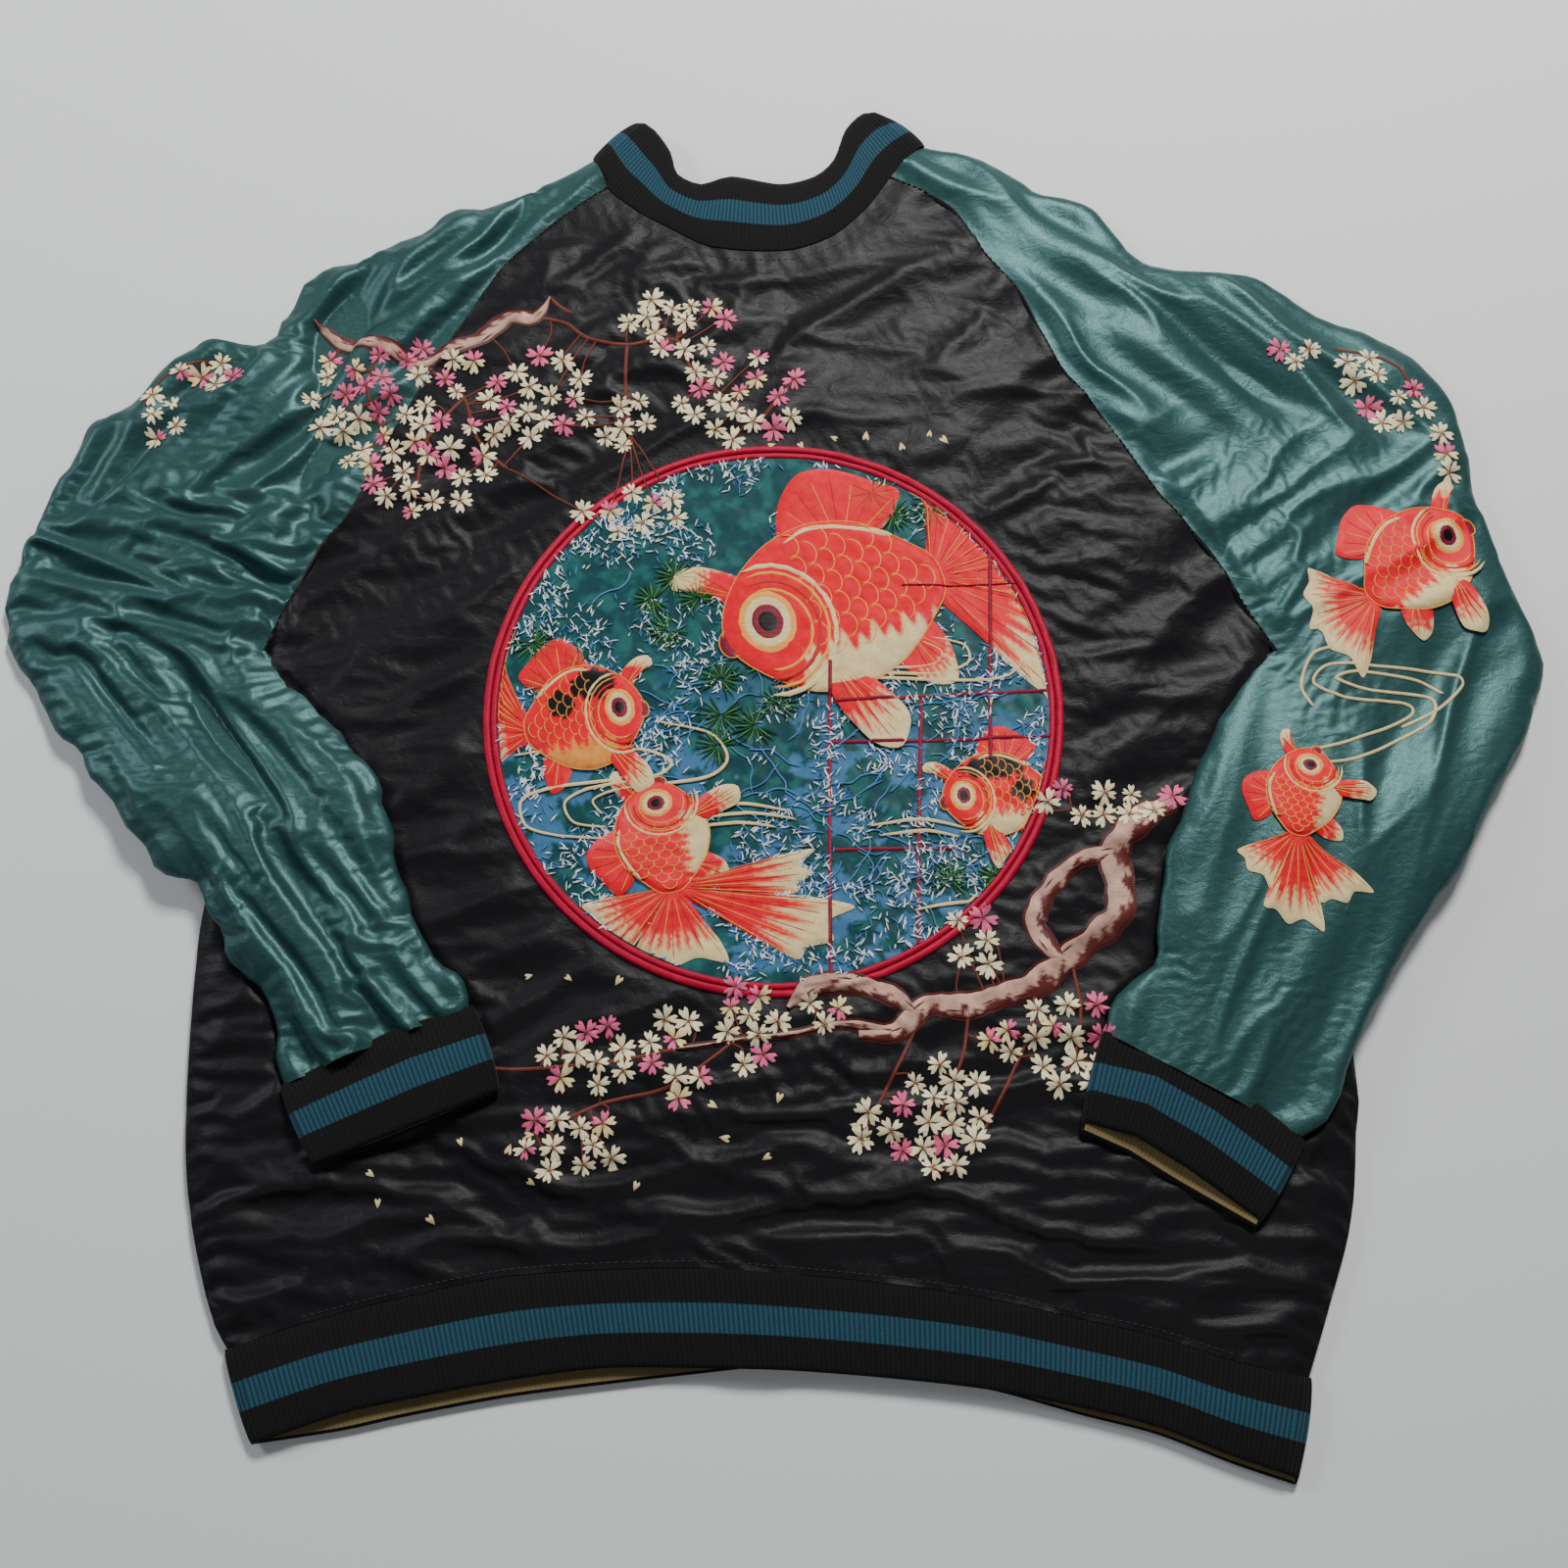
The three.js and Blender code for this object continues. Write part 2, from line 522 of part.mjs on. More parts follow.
// The pull hangs from the bridge by its eye and lies down along the teeth.
const PULL_Z = 1.8;
const PIVOT_Y = SLIDER_Y + 7.5;
const pullPlan = [[-4, 0.6], [4, 0.6], [4, -14], [5, -38], [3, -42], [-3, -42], [-5, -38],
  [-4, -14]].map(([x, y]) => [ZIP_X + x, PIVOT_Y + y]);
const pullEye = [[-2, -0.6], [2, -0.6], [2, -7.1], [-2, -7.1]].map(
  ([x, y]) => [ZIP_X + x, PIVOT_Y + y]);
place("pull_tab", prism(pullPlan, PULL_Z - 0.4, PULL_Z + 0.4).subtract(
  prism(pullEye, 0, 20)), BRASS, 0.9, 0.35);

// ---- embroidery on the back ----
const { x: MX, y: MY, radius: MR, border: MB } = MEDALLION;
place("medallion_patch", prism(circle(MX, MY, MR - MB - GAP, 48), STITCH_Z, STITCH_Z + 0.6),
  0x1c5560);
place("medallion_border", prism(circle(MX, MY, MR, 48), STITCH_Z, STITCH_Z + 1.2).subtract(
  prism(circle(MX, MY, MR - MB, 48), 0, 40)), CRIMSON);
const bar = (a, b, w) => prism(ribbon([a, b], w / 2), OVERLAY_Z, OVERLAY_Z + 0.6);
place("window_lattice", join([
  bar([35, 39], [34, -157], 6),
  bar([91, 24], [86, -130], 6),
  bar([136, 108], [132, -24], 5),
  bar([32, 13], [166, 20], 4),
  bar([32, -13], [166, -9], 4),
  bar([32, -81], [90, -80], 4),
]).intersect(prism(circle(MX, MY, MR - MB - 1, 48), 0, 40)), CRIMSON);

const fish = (points) => prism(points, FISH_Z, FISH_Z + 0.8);
place("goldfish_large", fish([[-24, 58], [-20, 84], [5, 106], [7, 134], [18, 150], [38, 160],
  [58, 148], [74, 138], [90, 128], [98, 118], [115, 134], [134, 124], [148, 114], [162, 88],
  [159, 68], [172, 58], [140, 52], [119, 54], [104, 55], [88, 60], [70, 48], [61, 36],
  [46, 20], [29, 9], [22, 24], [34, 46], [12, 50], [-8, 52]]), FISH);
place("goldfish_spotted", fish([[-81, 13], [-90, 39], [-108, 48], [-126, 34], [-139, 48],
  [-146, 14], [-171, 7], [-166, -24], [-159, -58], [-150, -83], [-143, -40], [-134, -12],
  [-121, -31], [-113, -21], [-92, -12], [-82, -24], [-66, -14], [-55, -4], [-80, -1]]), FISH);
place("goldfish_lower", fish([[-72, -44], [-59, -54], [-30, -52], [-40, -70], [-56, -74],
  [-54, -96], [-44, -102], [2, -98], [-20, -108], [21, -127], [-16, -134], [-48, -151],
  [-62, -132], [-91, -129], [-74, -112], [-68, -104], [-86, -88], [-96, -76], [-117, -71],
  [-98, -62], [-86, -54]]), FISH);
place("goldfish_small", fish([[107, -45], [122, -38], [134, -30], [139, -20], [150, -34],
  [156, -42], [146, -70], [132, -88], [122, -78], [112, -90], [98, -86], [114, -70],
  [110, -58]]), FISH);

const bloom = ([x, y]) => prism(circle(x, y, 7.5, 7), STITCH_Z, STITCH_Z + 0.6);
// A blossom hangs on a short stalk from the nearest point of its branch.
function stalk(branches, [x, y]) {
  const points = branches.flatMap(([line]) => line);
  const reach = ([px, py]) => Math.hypot(px - x, py - y);
  const nearest = points.reduce((a, b) => (reach(b) < reach(a) ? b : a));
  if (reach(nearest) < 1) return [];
  return [prism(ribbon([nearest, [x, y]], 1), STITCH_Z, STITCH_Z + 0.6)];
}
const sprig = (branches, blooms) => join([
  ...branches.map(([line, widths]) => prism(ribbon(line, widths), STITCH_Z, STITCH_Z + 0.6)),
  ...blooms.map(bloom),
  ...blooms.flatMap((point) => stalk(branches, point)),
]);
place("branch_upper", sprig([
  [[[-301, 277], [-283, 262], [-256, 255], [-229, 246], [-211, 255], [-192, 262], [-173, 277],
    [-156, 277], [-147, 292], [-135, 273]], [5, 7, 5, 5, 4, 4, 5, 5, 5, 3]],
  [[[-229, 246], [-216, 234], [-200, 219]], [4, 4, 2]],
  [[[-211, 255], [-190, 238], [-184, 212], [-150, 196]], 2],
  [[[-135, 273], [-121, 262], [-96, 259], [-64, 262], [-54, 241], [-35, 223], [-19, 209]],
    [2, 2, 2, 2, 2, 1.5, 1.5]],
], [[-243, 246], [-223, 226], [-206, 210], [-188, 222], [-176, 266], [-168, 236],
  [-140, 252], [-134, 222], [-108, 268], [-76, 250], [-44, 236], [-24, 222], [-10, 205],
  [-160, 184]]), BARK);
place("branch_lower", sprig([
  [[[242, -58], [224, -60], [214, -72], [204, -80], [207, -101], [205, -120], [187, -132],
    [176, -143], [174, -154], [154, -162], [136, -169], [115, -175], [90, -176], [76, -188],
    [62, -198], [36, -189], [12, -191]], [8, 8, 7, 7, 7, 7, 6, 6, 6, 6, 6, 6, 6, 5, 5, 4, 3]],
  [[[204, -80], [186, -88], [170, -114], [166, -130], [168, -145]], [6, 6, 6, 5, 4]],
  [[[76, -188], [69, -176]], [4, 3]],
  [[[12, -191], [-22, -195], [-56, -200], [-96, -208], [-141, -212], [-164, -211]],
    [2.5, 2, 2, 2, 1.5, 1.5]],
], [[-134, -202], [-112, -216], [-80, -190], [-46, -194], [-16, -184], [130, -158],
  [214, -44], [190, -168], [122, -188]]).subtract(prism(circle(MX, MY, MR + GAP, 48), 0, 40)),
BARK);
place("sleeve_goldfish_upper", fish([[436, 133], [412, 129], [396, 118], [382, 96], [368, 92],
  [352, 98], [348, 76], [342, 58], [352, 50], [366, 49], [376, 60], [386, 70], [400, 62],
  [418, 66], [428, 88], [442, 91], [438, 112]]).translate([0, 0, STITCH_Z - FISH_Z]), FISH);
place("sleeve_goldfish_lower", fish([[323, -18], [340, -24], [348, -44], [360, -58],
  [340, -62], [326, -70], [340, -96], [333, -126], [312, -116], [289, -96], [300, -78],
  [308, -66], [302, -44], [308, -15]]).translate([0, 0, FOREARM_Z + TOP_Z + 0.2 - FISH_Z]),
FISH);

export default group;
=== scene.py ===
import math
import random

import bpy
import numpy as np
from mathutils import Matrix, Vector, noise
from mathutils.bvhtree import BVHTree
from mathutils.geometry import delaunay_2d_cdt


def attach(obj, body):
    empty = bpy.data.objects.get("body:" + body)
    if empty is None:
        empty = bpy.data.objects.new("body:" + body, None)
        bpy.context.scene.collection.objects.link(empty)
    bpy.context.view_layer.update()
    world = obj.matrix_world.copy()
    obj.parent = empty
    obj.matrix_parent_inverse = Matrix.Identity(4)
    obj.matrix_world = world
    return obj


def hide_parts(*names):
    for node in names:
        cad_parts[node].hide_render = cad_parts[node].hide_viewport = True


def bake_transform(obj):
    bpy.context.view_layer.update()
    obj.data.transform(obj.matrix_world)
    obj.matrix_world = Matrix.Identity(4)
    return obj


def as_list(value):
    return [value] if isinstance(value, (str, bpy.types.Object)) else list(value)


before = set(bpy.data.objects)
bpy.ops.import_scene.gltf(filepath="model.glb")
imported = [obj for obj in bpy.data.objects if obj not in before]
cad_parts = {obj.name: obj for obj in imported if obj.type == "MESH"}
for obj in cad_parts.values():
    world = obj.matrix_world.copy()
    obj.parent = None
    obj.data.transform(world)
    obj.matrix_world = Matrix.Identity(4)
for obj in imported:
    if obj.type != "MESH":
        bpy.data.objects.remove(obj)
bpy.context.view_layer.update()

MM = 0.001

# ---------------------------------------------------------------- plan outlines, in mm
BACK_NECK = [(-112, 377), (-91, 359), (-71, 347), (-45, 333), (-16, 329), (13, 330), (40, 341),
             (63, 363), (78, 385)]
RAGLAN_L = [(-146, 350), (-181, 312), (-208, 266), (-240, 204), (-268, 140), (-286, 116),
            (-307, 69)]
RAGLAN_R = [(117, 362), (139, 327), (162, 297), (182, 250), (207, 214), (242, 157), (275, 113),
            (297, 72)]
ARMPIT_L = (-316, 47)
ARMPIT_R = (312, 47)
SIDE_L = [(-330, -40), (-339, -104), (-342, -147), (-340, -234), (-333, -290), (-317, -345)]
SIDE_R = [(322, -40), (332, -130), (340, -217), (337, -248), (330, -296), (315, -340)]
HEM_SEAM = [(-305, -367), (-263, -353), (-208, -339), (-153, -328), (-97, -324), (-40, -323),
            (7, -326), (62, -331), (119, -339), (175, -351), (216, -360), (257, -373),
            (299, -382)]
HEM_EDGE = [(-286, -417), (-238, -401), (-205, -394), (-150, -384), (-95, -377), (-40, -377),
            (7, -378), (62, -382), (118, -388), (172, -398), (213, -408), (253, -423),
            (287, -434)]
SLEEVE_L = [(-122, 401), (-150, 384), (-183, 369), (-216, 358), (-242, 341), (-271, 327),
            (-299, 314), (-326, 279), (-335, 264), (-381, 260), (-407, 231), (-437, 207),
            (-453, 180), (-467, 133), (-478, 100), (-479, 62), (-476, 46)]
SLEEVE_R = [(101, 411), (147, 398), (180, 373), (213, 363), (244, 321), (287, 314), (320, 312),
            (351, 286), (398, 264), (416, 250), (436, 224), (445, 185), (450, 140), (466, 86),
            (479, 46)]
FORE_L_OUT = [(-446, 7), (-408, -41), (-367, -90), (-342, -103), (-331, -125), (-313, -155),
              (-292, -179), (-287, -206), (-281, -222)]
FORE_L_IN = [(-291, 23), (-264, -6), (-245, -32), (-232, -60), (-223, -91), (-215, -122),
             (-202, -140), (-181, -161), (-177, -177)]
FORE_R_OUT = [(465, 0), (447, -29), (428, -60), (410, -91), (390, -113), (372, -143),
              (345, -185), (330, -219), (317, -242), (302, -251)]
FORE_R_IN = [(297, 39), (279, 13), (262, -19), (247, -57), (234, -88), (226, -134), (223, -152),
             (200, -170), (193, -192)]
MED = (0.0, 8.0, 179.5)
ELBOW_Y = 46.0


# ---------------------------------------------------------------- small numeric helpers
def curve_through(points, step, closed=False):
    """Points every step mm along a rounded curve through the given ones."""
    p = [np.array(q, float) for q in points]
    n = len(p)
    out = []
    for i in range(n if closed else n - 1):
        a, b = p[i], p[(i + 1) % n]
        before = p[i - 1] if (i or closed) else a
        after = p[(i + 2) % n] if (closed or i + 2 < n) else b
        count = max(1, int(round(np.linalg.norm(b - a) / step)))
        for k in range(count):
            t = k / count
            m0, m1 = (b - before) * 0.42, (after - a) * 0.42
            h = (2 * t**3 - 3 * t**2 + 1, t**3 - 2 * t**2 + t, 3 * t**2 - 2 * t**3, t**3 - t**2)
            out.append(h[0] * a + h[1] * m0 + h[2] * b + h[3] * m1)
    if not closed:
        out.append(p[-1])
    return np.array(out)


def smooth(t):
    t = np.clip(t, 0, 1)
    return t * t * (3 - 2 * t)


def inside(points, polygon):
    x, y = points[:, 0], points[:, 1]
    hit = np.zeros(len(points), bool)
    a, b = polygon, np.roll(polygon, -1, 0)
    for (x0, y0), (x1, y1) in zip(a, b):
        cross = (y0 > y) != (y1 > y)
        if cross.any():
            hit ^= cross & (x < (x1 - x0) * (y - y0) / (y1 - y0 + 1e-12) + x0)
    return hit


def distance_to(points, line):
    """Shortest distance in plan from each point to a polyline."""
    best = np.full(len(points), 1e9)
    for a, b in zip(line[:-1], line[1:]):
        d = b - a
        t = np.clip(((points - a) @ d) / (d @ d + 1e-12), 0, 1)
        best = np.minimum(best, np.hypot(*(points - a - t[:, None] * d).T))
    return best


def fbm(points, scale, seed, octaves):
    """Smooth noise from -1 to 1 at plan points."""
    out = np.empty(len(points))
    for i, (x, y) in enumerate(points[:, :2]):
        out[i] = noise.fractal(Vector((x / scale + seed, y / scale - seed, seed * 0.37)), 0.9,
                               2.0, octaves)
    return out


EDGE_MARGIN = 0.55  # inner points keep this share of the spacing from the edge


def mesh_plan(outline, spacing, seed):
    """A triangle mesh of a closed plan outline: (points, triangles)."""
    rng = np.random.default_rng(seed)
    lo, hi = outline.min(0), outline.max(0)
    rows = np.arange(lo[1], hi[1], spacing * 0.866)
    grid = []
    for k, y in enumerate(rows):
        x = np.arange(lo[0] + (k % 2) * spacing / 2, hi[0], spacing)
        grid.append(np.c_[x, np.full(len(x), y)])
    grid = np.concatenate(grid)
    grid += rng.uniform(-0.12, 0.12, grid.shape) * spacing
    grid = grid[inside(grid, outline)]
    loop = np.r_[outline, outline[:1]]
    grid = grid[distance_to(grid, loop) > spacing * EDGE_MARGIN]
    points = np.r_[outline, grid]
    edges = [(i, (i + 1) % len(outline)) for i in range(len(outline))]
    verts, _, faces = delaunay_2d_cdt([Vector(p) for p in points], edges,
                                      [list(range(len(outline)))], 1, 1e-5)[:3]
    return np.array([tuple(v) for v in verts]), [tuple(f) for f in faces]


def new_object(name, points, faces, material=None, smooth_shade=True):
    """A mesh object from points in mm."""
    mesh = bpy.data.meshes.new(name)
    mesh.from_pydata([tuple(p) for p in np.asarray(points, float) * MM], [], faces)
    mesh.validate()
    mesh.update()
    if smooth_shade:
        mesh.shade_smooth()
    obj = bpy.data.objects.new(name, mesh)
    bpy.context.scene.collection.objects.link(obj)
    if material is not None:
        mesh.materials.append(material)
    return obj


def edge_table(faces):
    """Each edge once, and the two corners facing it where two triangles share it."""
    f = np.asarray(faces)
    ends = np.r_[f[:, [0, 1]], f[:, [1, 2]], f[:, [2, 0]]]
    facing = np.r_[f[:, 2], f[:, 0], f[:, 1]]
    ends = np.sort(ends, 1)
    order = np.lexsort((ends[:, 1], ends[:, 0]))
    ends, facing = ends[order], facing[order]
    first = np.r_[True, np.any(ends[1:] != ends[:-1], 1)]
    at = np.flatnonzero(first)
    paired = np.r_[np.diff(at), len(ends) - at[-1]] == 2
    wings = np.c_[facing[at[paired]], facing[at[paired] + 1]]
    return ends[at], wings


def cut_length(plan, pairs, way, along, across):
    """Length that each pair of points has in the cloth, which is cut larger than the room it
    lies in: by `across` in the direction `way`, and by `along` at right angles to it."""
    d = plan[pairs[:, 1]] - plan[pairs[:, 0]]
    angle = (way[pairs[:, 0]] + way[pairs[:, 1]]) / 2
    c, s = np.cos(angle), np.sin(angle)
    u, v = d[:, 0] * c + d[:, 1] * s, d[:, 1] * c - d[:, 0] * s
    grow_u = 1 + (across[pairs[:, 0]] + across[pairs[:, 1]]) / 2
    grow_v = 1 + (along[pairs[:, 0]] + along[pairs[:, 1]]) / 2
    return np.hypot(u * grow_u, v * grow_v)


def relax(points, plan, faces, way, along, across, pinned, base, low, high, rounds, bend, bed):
    """A position-based cloth solver: edges seek their cut length, corners facing each other
    over an edge resist folding, a soft bed draws the cloth to its resting height, and it
    stays between low and high."""
    edges, wings = edge_table(faces)
    rest = cut_length(plan, edges, way, along, across)
    flat = cut_length(plan, wings, way, along, across)
    pairs = np.r_[edges, wings]
    rest = np.r_[rest, flat]
    weight = np.r_[np.ones(len(edges)), np.full(len(wings), bend)]
    i, j = pairs.T
    n = len(points)
    share = np.bincount(i, weight, n) + np.bincount(j, weight, n)
    free = ((~pinned) * 1.5 / np.maximum(share, 1))[:, None]
    p, last = points.copy(), points.copy()
    for _ in range(rounds):
        drift = (p - last) * 0.9
        last = p.copy()
        p = p + drift * (~pinned)[:, None]
        p[:, 2] += bed * (base - p[:, 2]) * (~pinned)
        d = p[j] - p[i]
        length = np.sqrt((d * d).sum(1)) + 1e-9
        pull = d * (weight * (length - rest) / length * 0.5)[:, None]
        step = np.stack([np.bincount(i, pull[:, k], n) - np.bincount(j, pull[:, k], n)
                         for k in range(3)], 1)
        p += step * free
        p[:, 2] = np.clip(p[:, 2], low, high)
    return p


def refine(points, faces):
    """One round of Loop subdivision; the open edge stays where it is. Any number of columns."""
    f = np.asarray(faces)
    n = len(points)
    ends = np.sort(np.r_[f[:, [0, 1]], f[:, [1, 2]], f[:, [2, 0]]], 1)
    facing = np.r_[f[:, 2], f[:, 0], f[:, 1]]
    code = ends[:, 0].astype(np.int64) * n + ends[:, 1]
    keys, where, count = np.unique(code, return_inverse=True, return_counts=True)
    a, b = keys // n, keys % n
    opposite = np.stack([np.bincount(where, points[facing, k], len(keys))
                         for k in range(points.shape[1])], 1)
    both = points[a] + points[b]
    inner = count == 2
    mid = np.where(inner[:, None], both * 0.375 + opposite * 0.125, both * 0.5)
    total = np.stack([np.bincount(a, points[b, k], n) + np.bincount(b, points[a, k], n)
                      for k in range(points.shape[1])], 1)
    valence = np.maximum(np.bincount(a, minlength=n) + np.bincount(b, minlength=n), 1)
    rim = np.zeros(n, bool)
    rim[a[~inner]] = rim[b[~inner]] = True
    beta = np.where(valence > 3, 0.375 / valence, 0.1875)
    moved = points * (1 - valence * beta)[:, None] + total * beta[:, None]
    out = np.r_[np.where(rim[:, None], points, moved), mid]
    m = len(f)
    ab, bc, ca = (n + where[k * m:(k + 1) * m] for k in range(3))
    corner = np.concatenate([np.c_[f[:, 0], ab, ca], np.c_[f[:, 1], bc, ab],
                             np.c_[f[:, 2], ca, bc], np.c_[ab, bc, ca]])
    return out, corner


# ---------------------------------------------------------------- camera, floor and light
def aim(obj, target):
    obj.rotation_euler = (Vector(target) - obj.location).to_track_quat("-Z", "Y").to_euler()


def stage_and_camera():
    camera = bpy.data.objects.new("camera", bpy.data.cameras.new("camera"))
    bpy.context.scene.collection.objects.link(camera)
    target = Vector((0.0065, -0.0365, 0.0))
    tilt, reach = math.radians(74), 1.1
    camera.location = target + Vector((0, -math.cos(tilt), math.sin(tilt))) * reach
    aim(camera, target)
    camera.data.sensor_width = 36
    camera.data.lens = 41.2
    bpy.context.scene.camera = camera
    bpy.ops.mesh.primitive_plane_add(size=14, location=(0, 0, -0.0004))
    floor = bpy.context.object
    floor.name = "floor"
    mat = bpy.data.materials.new("floor_paper")
    mat.use_nodes = True
    bsdf = mat.node_tree.nodes["Principled BSDF"]
    bsdf.inputs["Base Color"].default_value = (0.74, 0.76, 0.77, 1)
    bsdf.inputs["Roughness"].default_value = 0.9
    floor.data.materials.append(mat)
    for name, place, size, power, colour in (
            ("key", (0.45, 1.45, 1.6), 0.5, 58, (1.0, 0.985, 0.96)),
            ("fill", (-1.7, 0.7, 1.1), 0.6, 15, (0.94, 0.97, 1.0)),
            ("low", (0.3, -1.8, 1.2), 1.4, 6, (1, 1, 1))):
        lamp = bpy.data.objects.new(name, bpy.data.lights.new(name, "AREA"))
        bpy.context.scene.collection.objects.link(lamp)
        lamp.location = place
        lamp.data.size = size
        lamp.data.energy = power
        lamp.data.color = colour
        aim(lamp, (0, 0, 0))
    world = bpy.data.worlds.new("studio")
    bpy.context.scene.world = world
    world.use_nodes = True
    world.node_tree.nodes["Background"].inputs[0].default_value = (0.85, 0.9, 0.95, 1)
    world.node_tree.nodes["Background"].inputs[1].default_value = 0.11


# ---------------------------------------------------------------- materials
class Nodes:
    """A short way to write a node tree."""

    def __init__(self, name):
        self.material = bpy.data.materials.new(name)
        self.material.use_nodes = True
        self.tree = self.material.node_tree
        self.bsdf = self.tree.nodes["Principled BSDF"]
        self.coord = self.tree.nodes.new("ShaderNodeTexCoord").outputs["Object"]

    def add(self, kind, values=(), **settings):
        node = self.tree.nodes.new("ShaderNode" + kind)
        for key, value in settings.items():
            setattr(node, key, value)
        for key, value in dict(values).items():
            if isinstance(value, bpy.types.NodeSocket):
                self.tree.links.new(value, node.inputs[key])
            else:
                node.inputs[key].default_value = value
        return node

    def noise(self, scale, detail=3, stretch=(1, 1, 1), turn=0.0, distortion=0.0):
        mapped = self.add("Mapping", {"Vector": self.coord, "Scale": stretch,
                                      "Rotation": (0, 0, turn)}).outputs[0]
        return self.add("TexNoise", {"Vector": mapped, "Scale": scale, "Detail": detail,
                                     "Distortion": distortion}).outputs["Fac"]

    def math(self, kind, a, b=0.0, c=0.0):
        return self.add("Math", {0: a, 1: b, 2: c}, operation=kind).outputs[0]

    def mix(self, factor, a, b, blend="MIX"):
        node = self.add("Mix", data_type="RGBA", blend_type=blend)
        for key, value in (("Factor", factor), ("A", a), ("B", b)):
            slot = [s for s in node.inputs if s.name == key and s.enabled][0]
            if isinstance(value, bpy.types.NodeSocket):
                self.tree.links.new(value, slot)
            else:
                slot.default_value = value
        return [s for s in node.outputs if s.enabled][0]

    def bump(self, height, strength, distance, normal=None):
        values = {"Height": height, "Strength": strength, "Distance": distance}
        if normal is not None:
            values["Normal"] = normal
        return self.add("Bump", values).outputs[0]

    def set(self, **values):
        for key, value in values.items():
            socket = self.bsdf.inputs[key.replace("_", " ")]
            if isinstance(value, bpy.types.NodeSocket):
                self.tree.links.new(value, socket)
            else:
                socket.default_value = value
        return self.material


def satin(name, deep, pale, gloss, metal, sheen, level):
    """Satin: a fine twill line, small crinkles, and colour that shifts a little in patches."""
    n = Nodes(name)
    patch = n.noise(9, 3)
    fine = n.noise(160, 2, (1, 3, 1), 0.6)
    weave = n.noise(1500, 2, (1, 1.6, 1), 0.5)
    shade = n.math("MULTIPLY_ADD", fine, 0.30, n.math("MULTIPLY", patch, 0.45))
    shade = n.math("MULTIPLY_ADD", weave, 0.55, n.math("SUBTRACT", shade, 0.15))
    colour = n.mix(shade, deep + (1,), pale + (1,))
    wave = n.add("TexWave", {"Vector": n.coord, "Scale": 700.0, "Distortion": 2.5,
                             "Detail": 1.0}, bands_direction="DIAGONAL").outputs["Fac"]
    crinkle = n.bump(n.noise(95, 4, (1, 1.5, 1), 0.7, 1.2), 0.35, 0.0012)
    grain = n.bump(wave, 0.10, 0.0002, n.bump(weave, 0.30, 0.0004, crinkle))
    rough = n.math("MULTIPLY_ADD", fine, 0.14, gloss)
    return n.set(Base_Color=colour, Roughness=rough, Normal=grain, Metallic=metal,
                 Sheen_Weight=sheen, Sheen_Roughness=0.35, Specular_IOR_Level=level,
                 Sheen_Tint=pale + (1,), Specular_Tint=tuple(min(1, 1.6 * c + 0.3) for c in pale)
                 + (1,))


# ---------------------------------------------------------------- cloth
def closed(*runs):
    """Join runs of curve into one closed outline, dropping each shared end."""
    return np.concatenate([np.asarray(run)[:-1] for run in runs])


def flank(depth, radius):
    """Share of full height at some distance in from a folded edge: a quarter circle."""
    t = np.clip(depth / radius, 0, 1)
    return np.sqrt(1 - (1 - t) ** 2)


# Heights in mm: a sleeve's under and upper layers and its lining's, how far they climb where the
# forearm lies on the back, the room kept for the lining, and the highest fold.
SLEEVE_LOW, SLEEVE_TOP, LINER_LOW, LINER_TOP = 1.2, 10.8, 3.3, 4.3
CLIMB_LOW, CLIMB_TOP, SLEEVE_ROOM, FOLD_LIMIT = 11.3, 10.0, 3.9, 33.0


def lift(y):
    """How far the sleeves have climbed on to the back below the elbow, from 0 to 1."""
    return smooth((ELBOW_Y - y) / 120)


def ridges(plan, scale, seed):
    """Sharp-crested noise from -1 to 1, as cloth that was once crushed."""
    return 1 - 2.6 * np.abs(fbm(plan, scale, seed, 3))


def long_folds(plan, degrees, width, length, seed):
    """Broad crests from -1 to 1 that run in one direction."""
    c, s = math.cos(math.radians(degrees)), math.sin(math.radians(degrees))
    turned = np.c_[(plan[:, 0] * c + plan[:, 1] * s) / length,
                   (plan[:, 1] * c - plan[:, 0] * s) / width]
    return 1 - 2.4 * np.abs(fbm(turned, 1.0, seed, 2))


SETTLE_ROUNDS = (120, 90)  # turns of the coarse and of the fine sheet


def settle(plan, faces, shape, folds, seed, rise, sink, crinkle, crush, bend,
           bed=(0.006, 0.008)):
    """Let a flat-cut sheet settle, first coarsely and then finely, and give (points, plan,
    faces). shape(plan) is its resting height, and folds(plan) its direction and spare cloth."""
    faces = np.asarray(faces)
    points = np.c_[plan, shape(plan)]
    for level, (turns, stiff) in enumerate(zip(SETTLE_ROUNDS, bend)):
        base = shape(plan)
        way, along, across = folds(plan)
        pinned = open_edge(plan, faces)
        wobble = ridges(plan, (44, 17)[level], seed + level) * (1.0, 0.3)[level] * crush
        points[~pinned, 2] += wobble[~pinned]
        extra = 0 if level == 0 else crinkle
        points = relax(points, plan, faces, way, along + extra, across + extra, pinned,
                       base, base - sink, base + rise, turns, stiff, bed[level])
        joined, faces = refine(np.c_[points, plan], faces)
        points, plan = joined[:, :3], joined[:, 3:]
    return points, plan, faces


def open_edge(plan, faces):
    f = np.asarray(faces)
    ends = np.sort(np.r_[f[:, [0, 1]], f[:, [1, 2]], f[:, [2, 0]]], 1)
    code = ends[:, 0].astype(np.int64) * len(plan) + ends[:, 1]
    keys, count = np.unique(code, return_counts=True)
    alone = keys[count == 1]
    out = np.zeros(len(plan), bool)
    out[alone // len(plan)] = out[alone % len(plan)] = True
    return out


def forearm_plan(outer, inner):
    return np.array(outer + inner[::-1], float)


def outline_of(step, *runs):
    """A closed outline from runs of rounded curve that meet end to end."""
    return closed(*(curve_through(run, step) for run in runs))


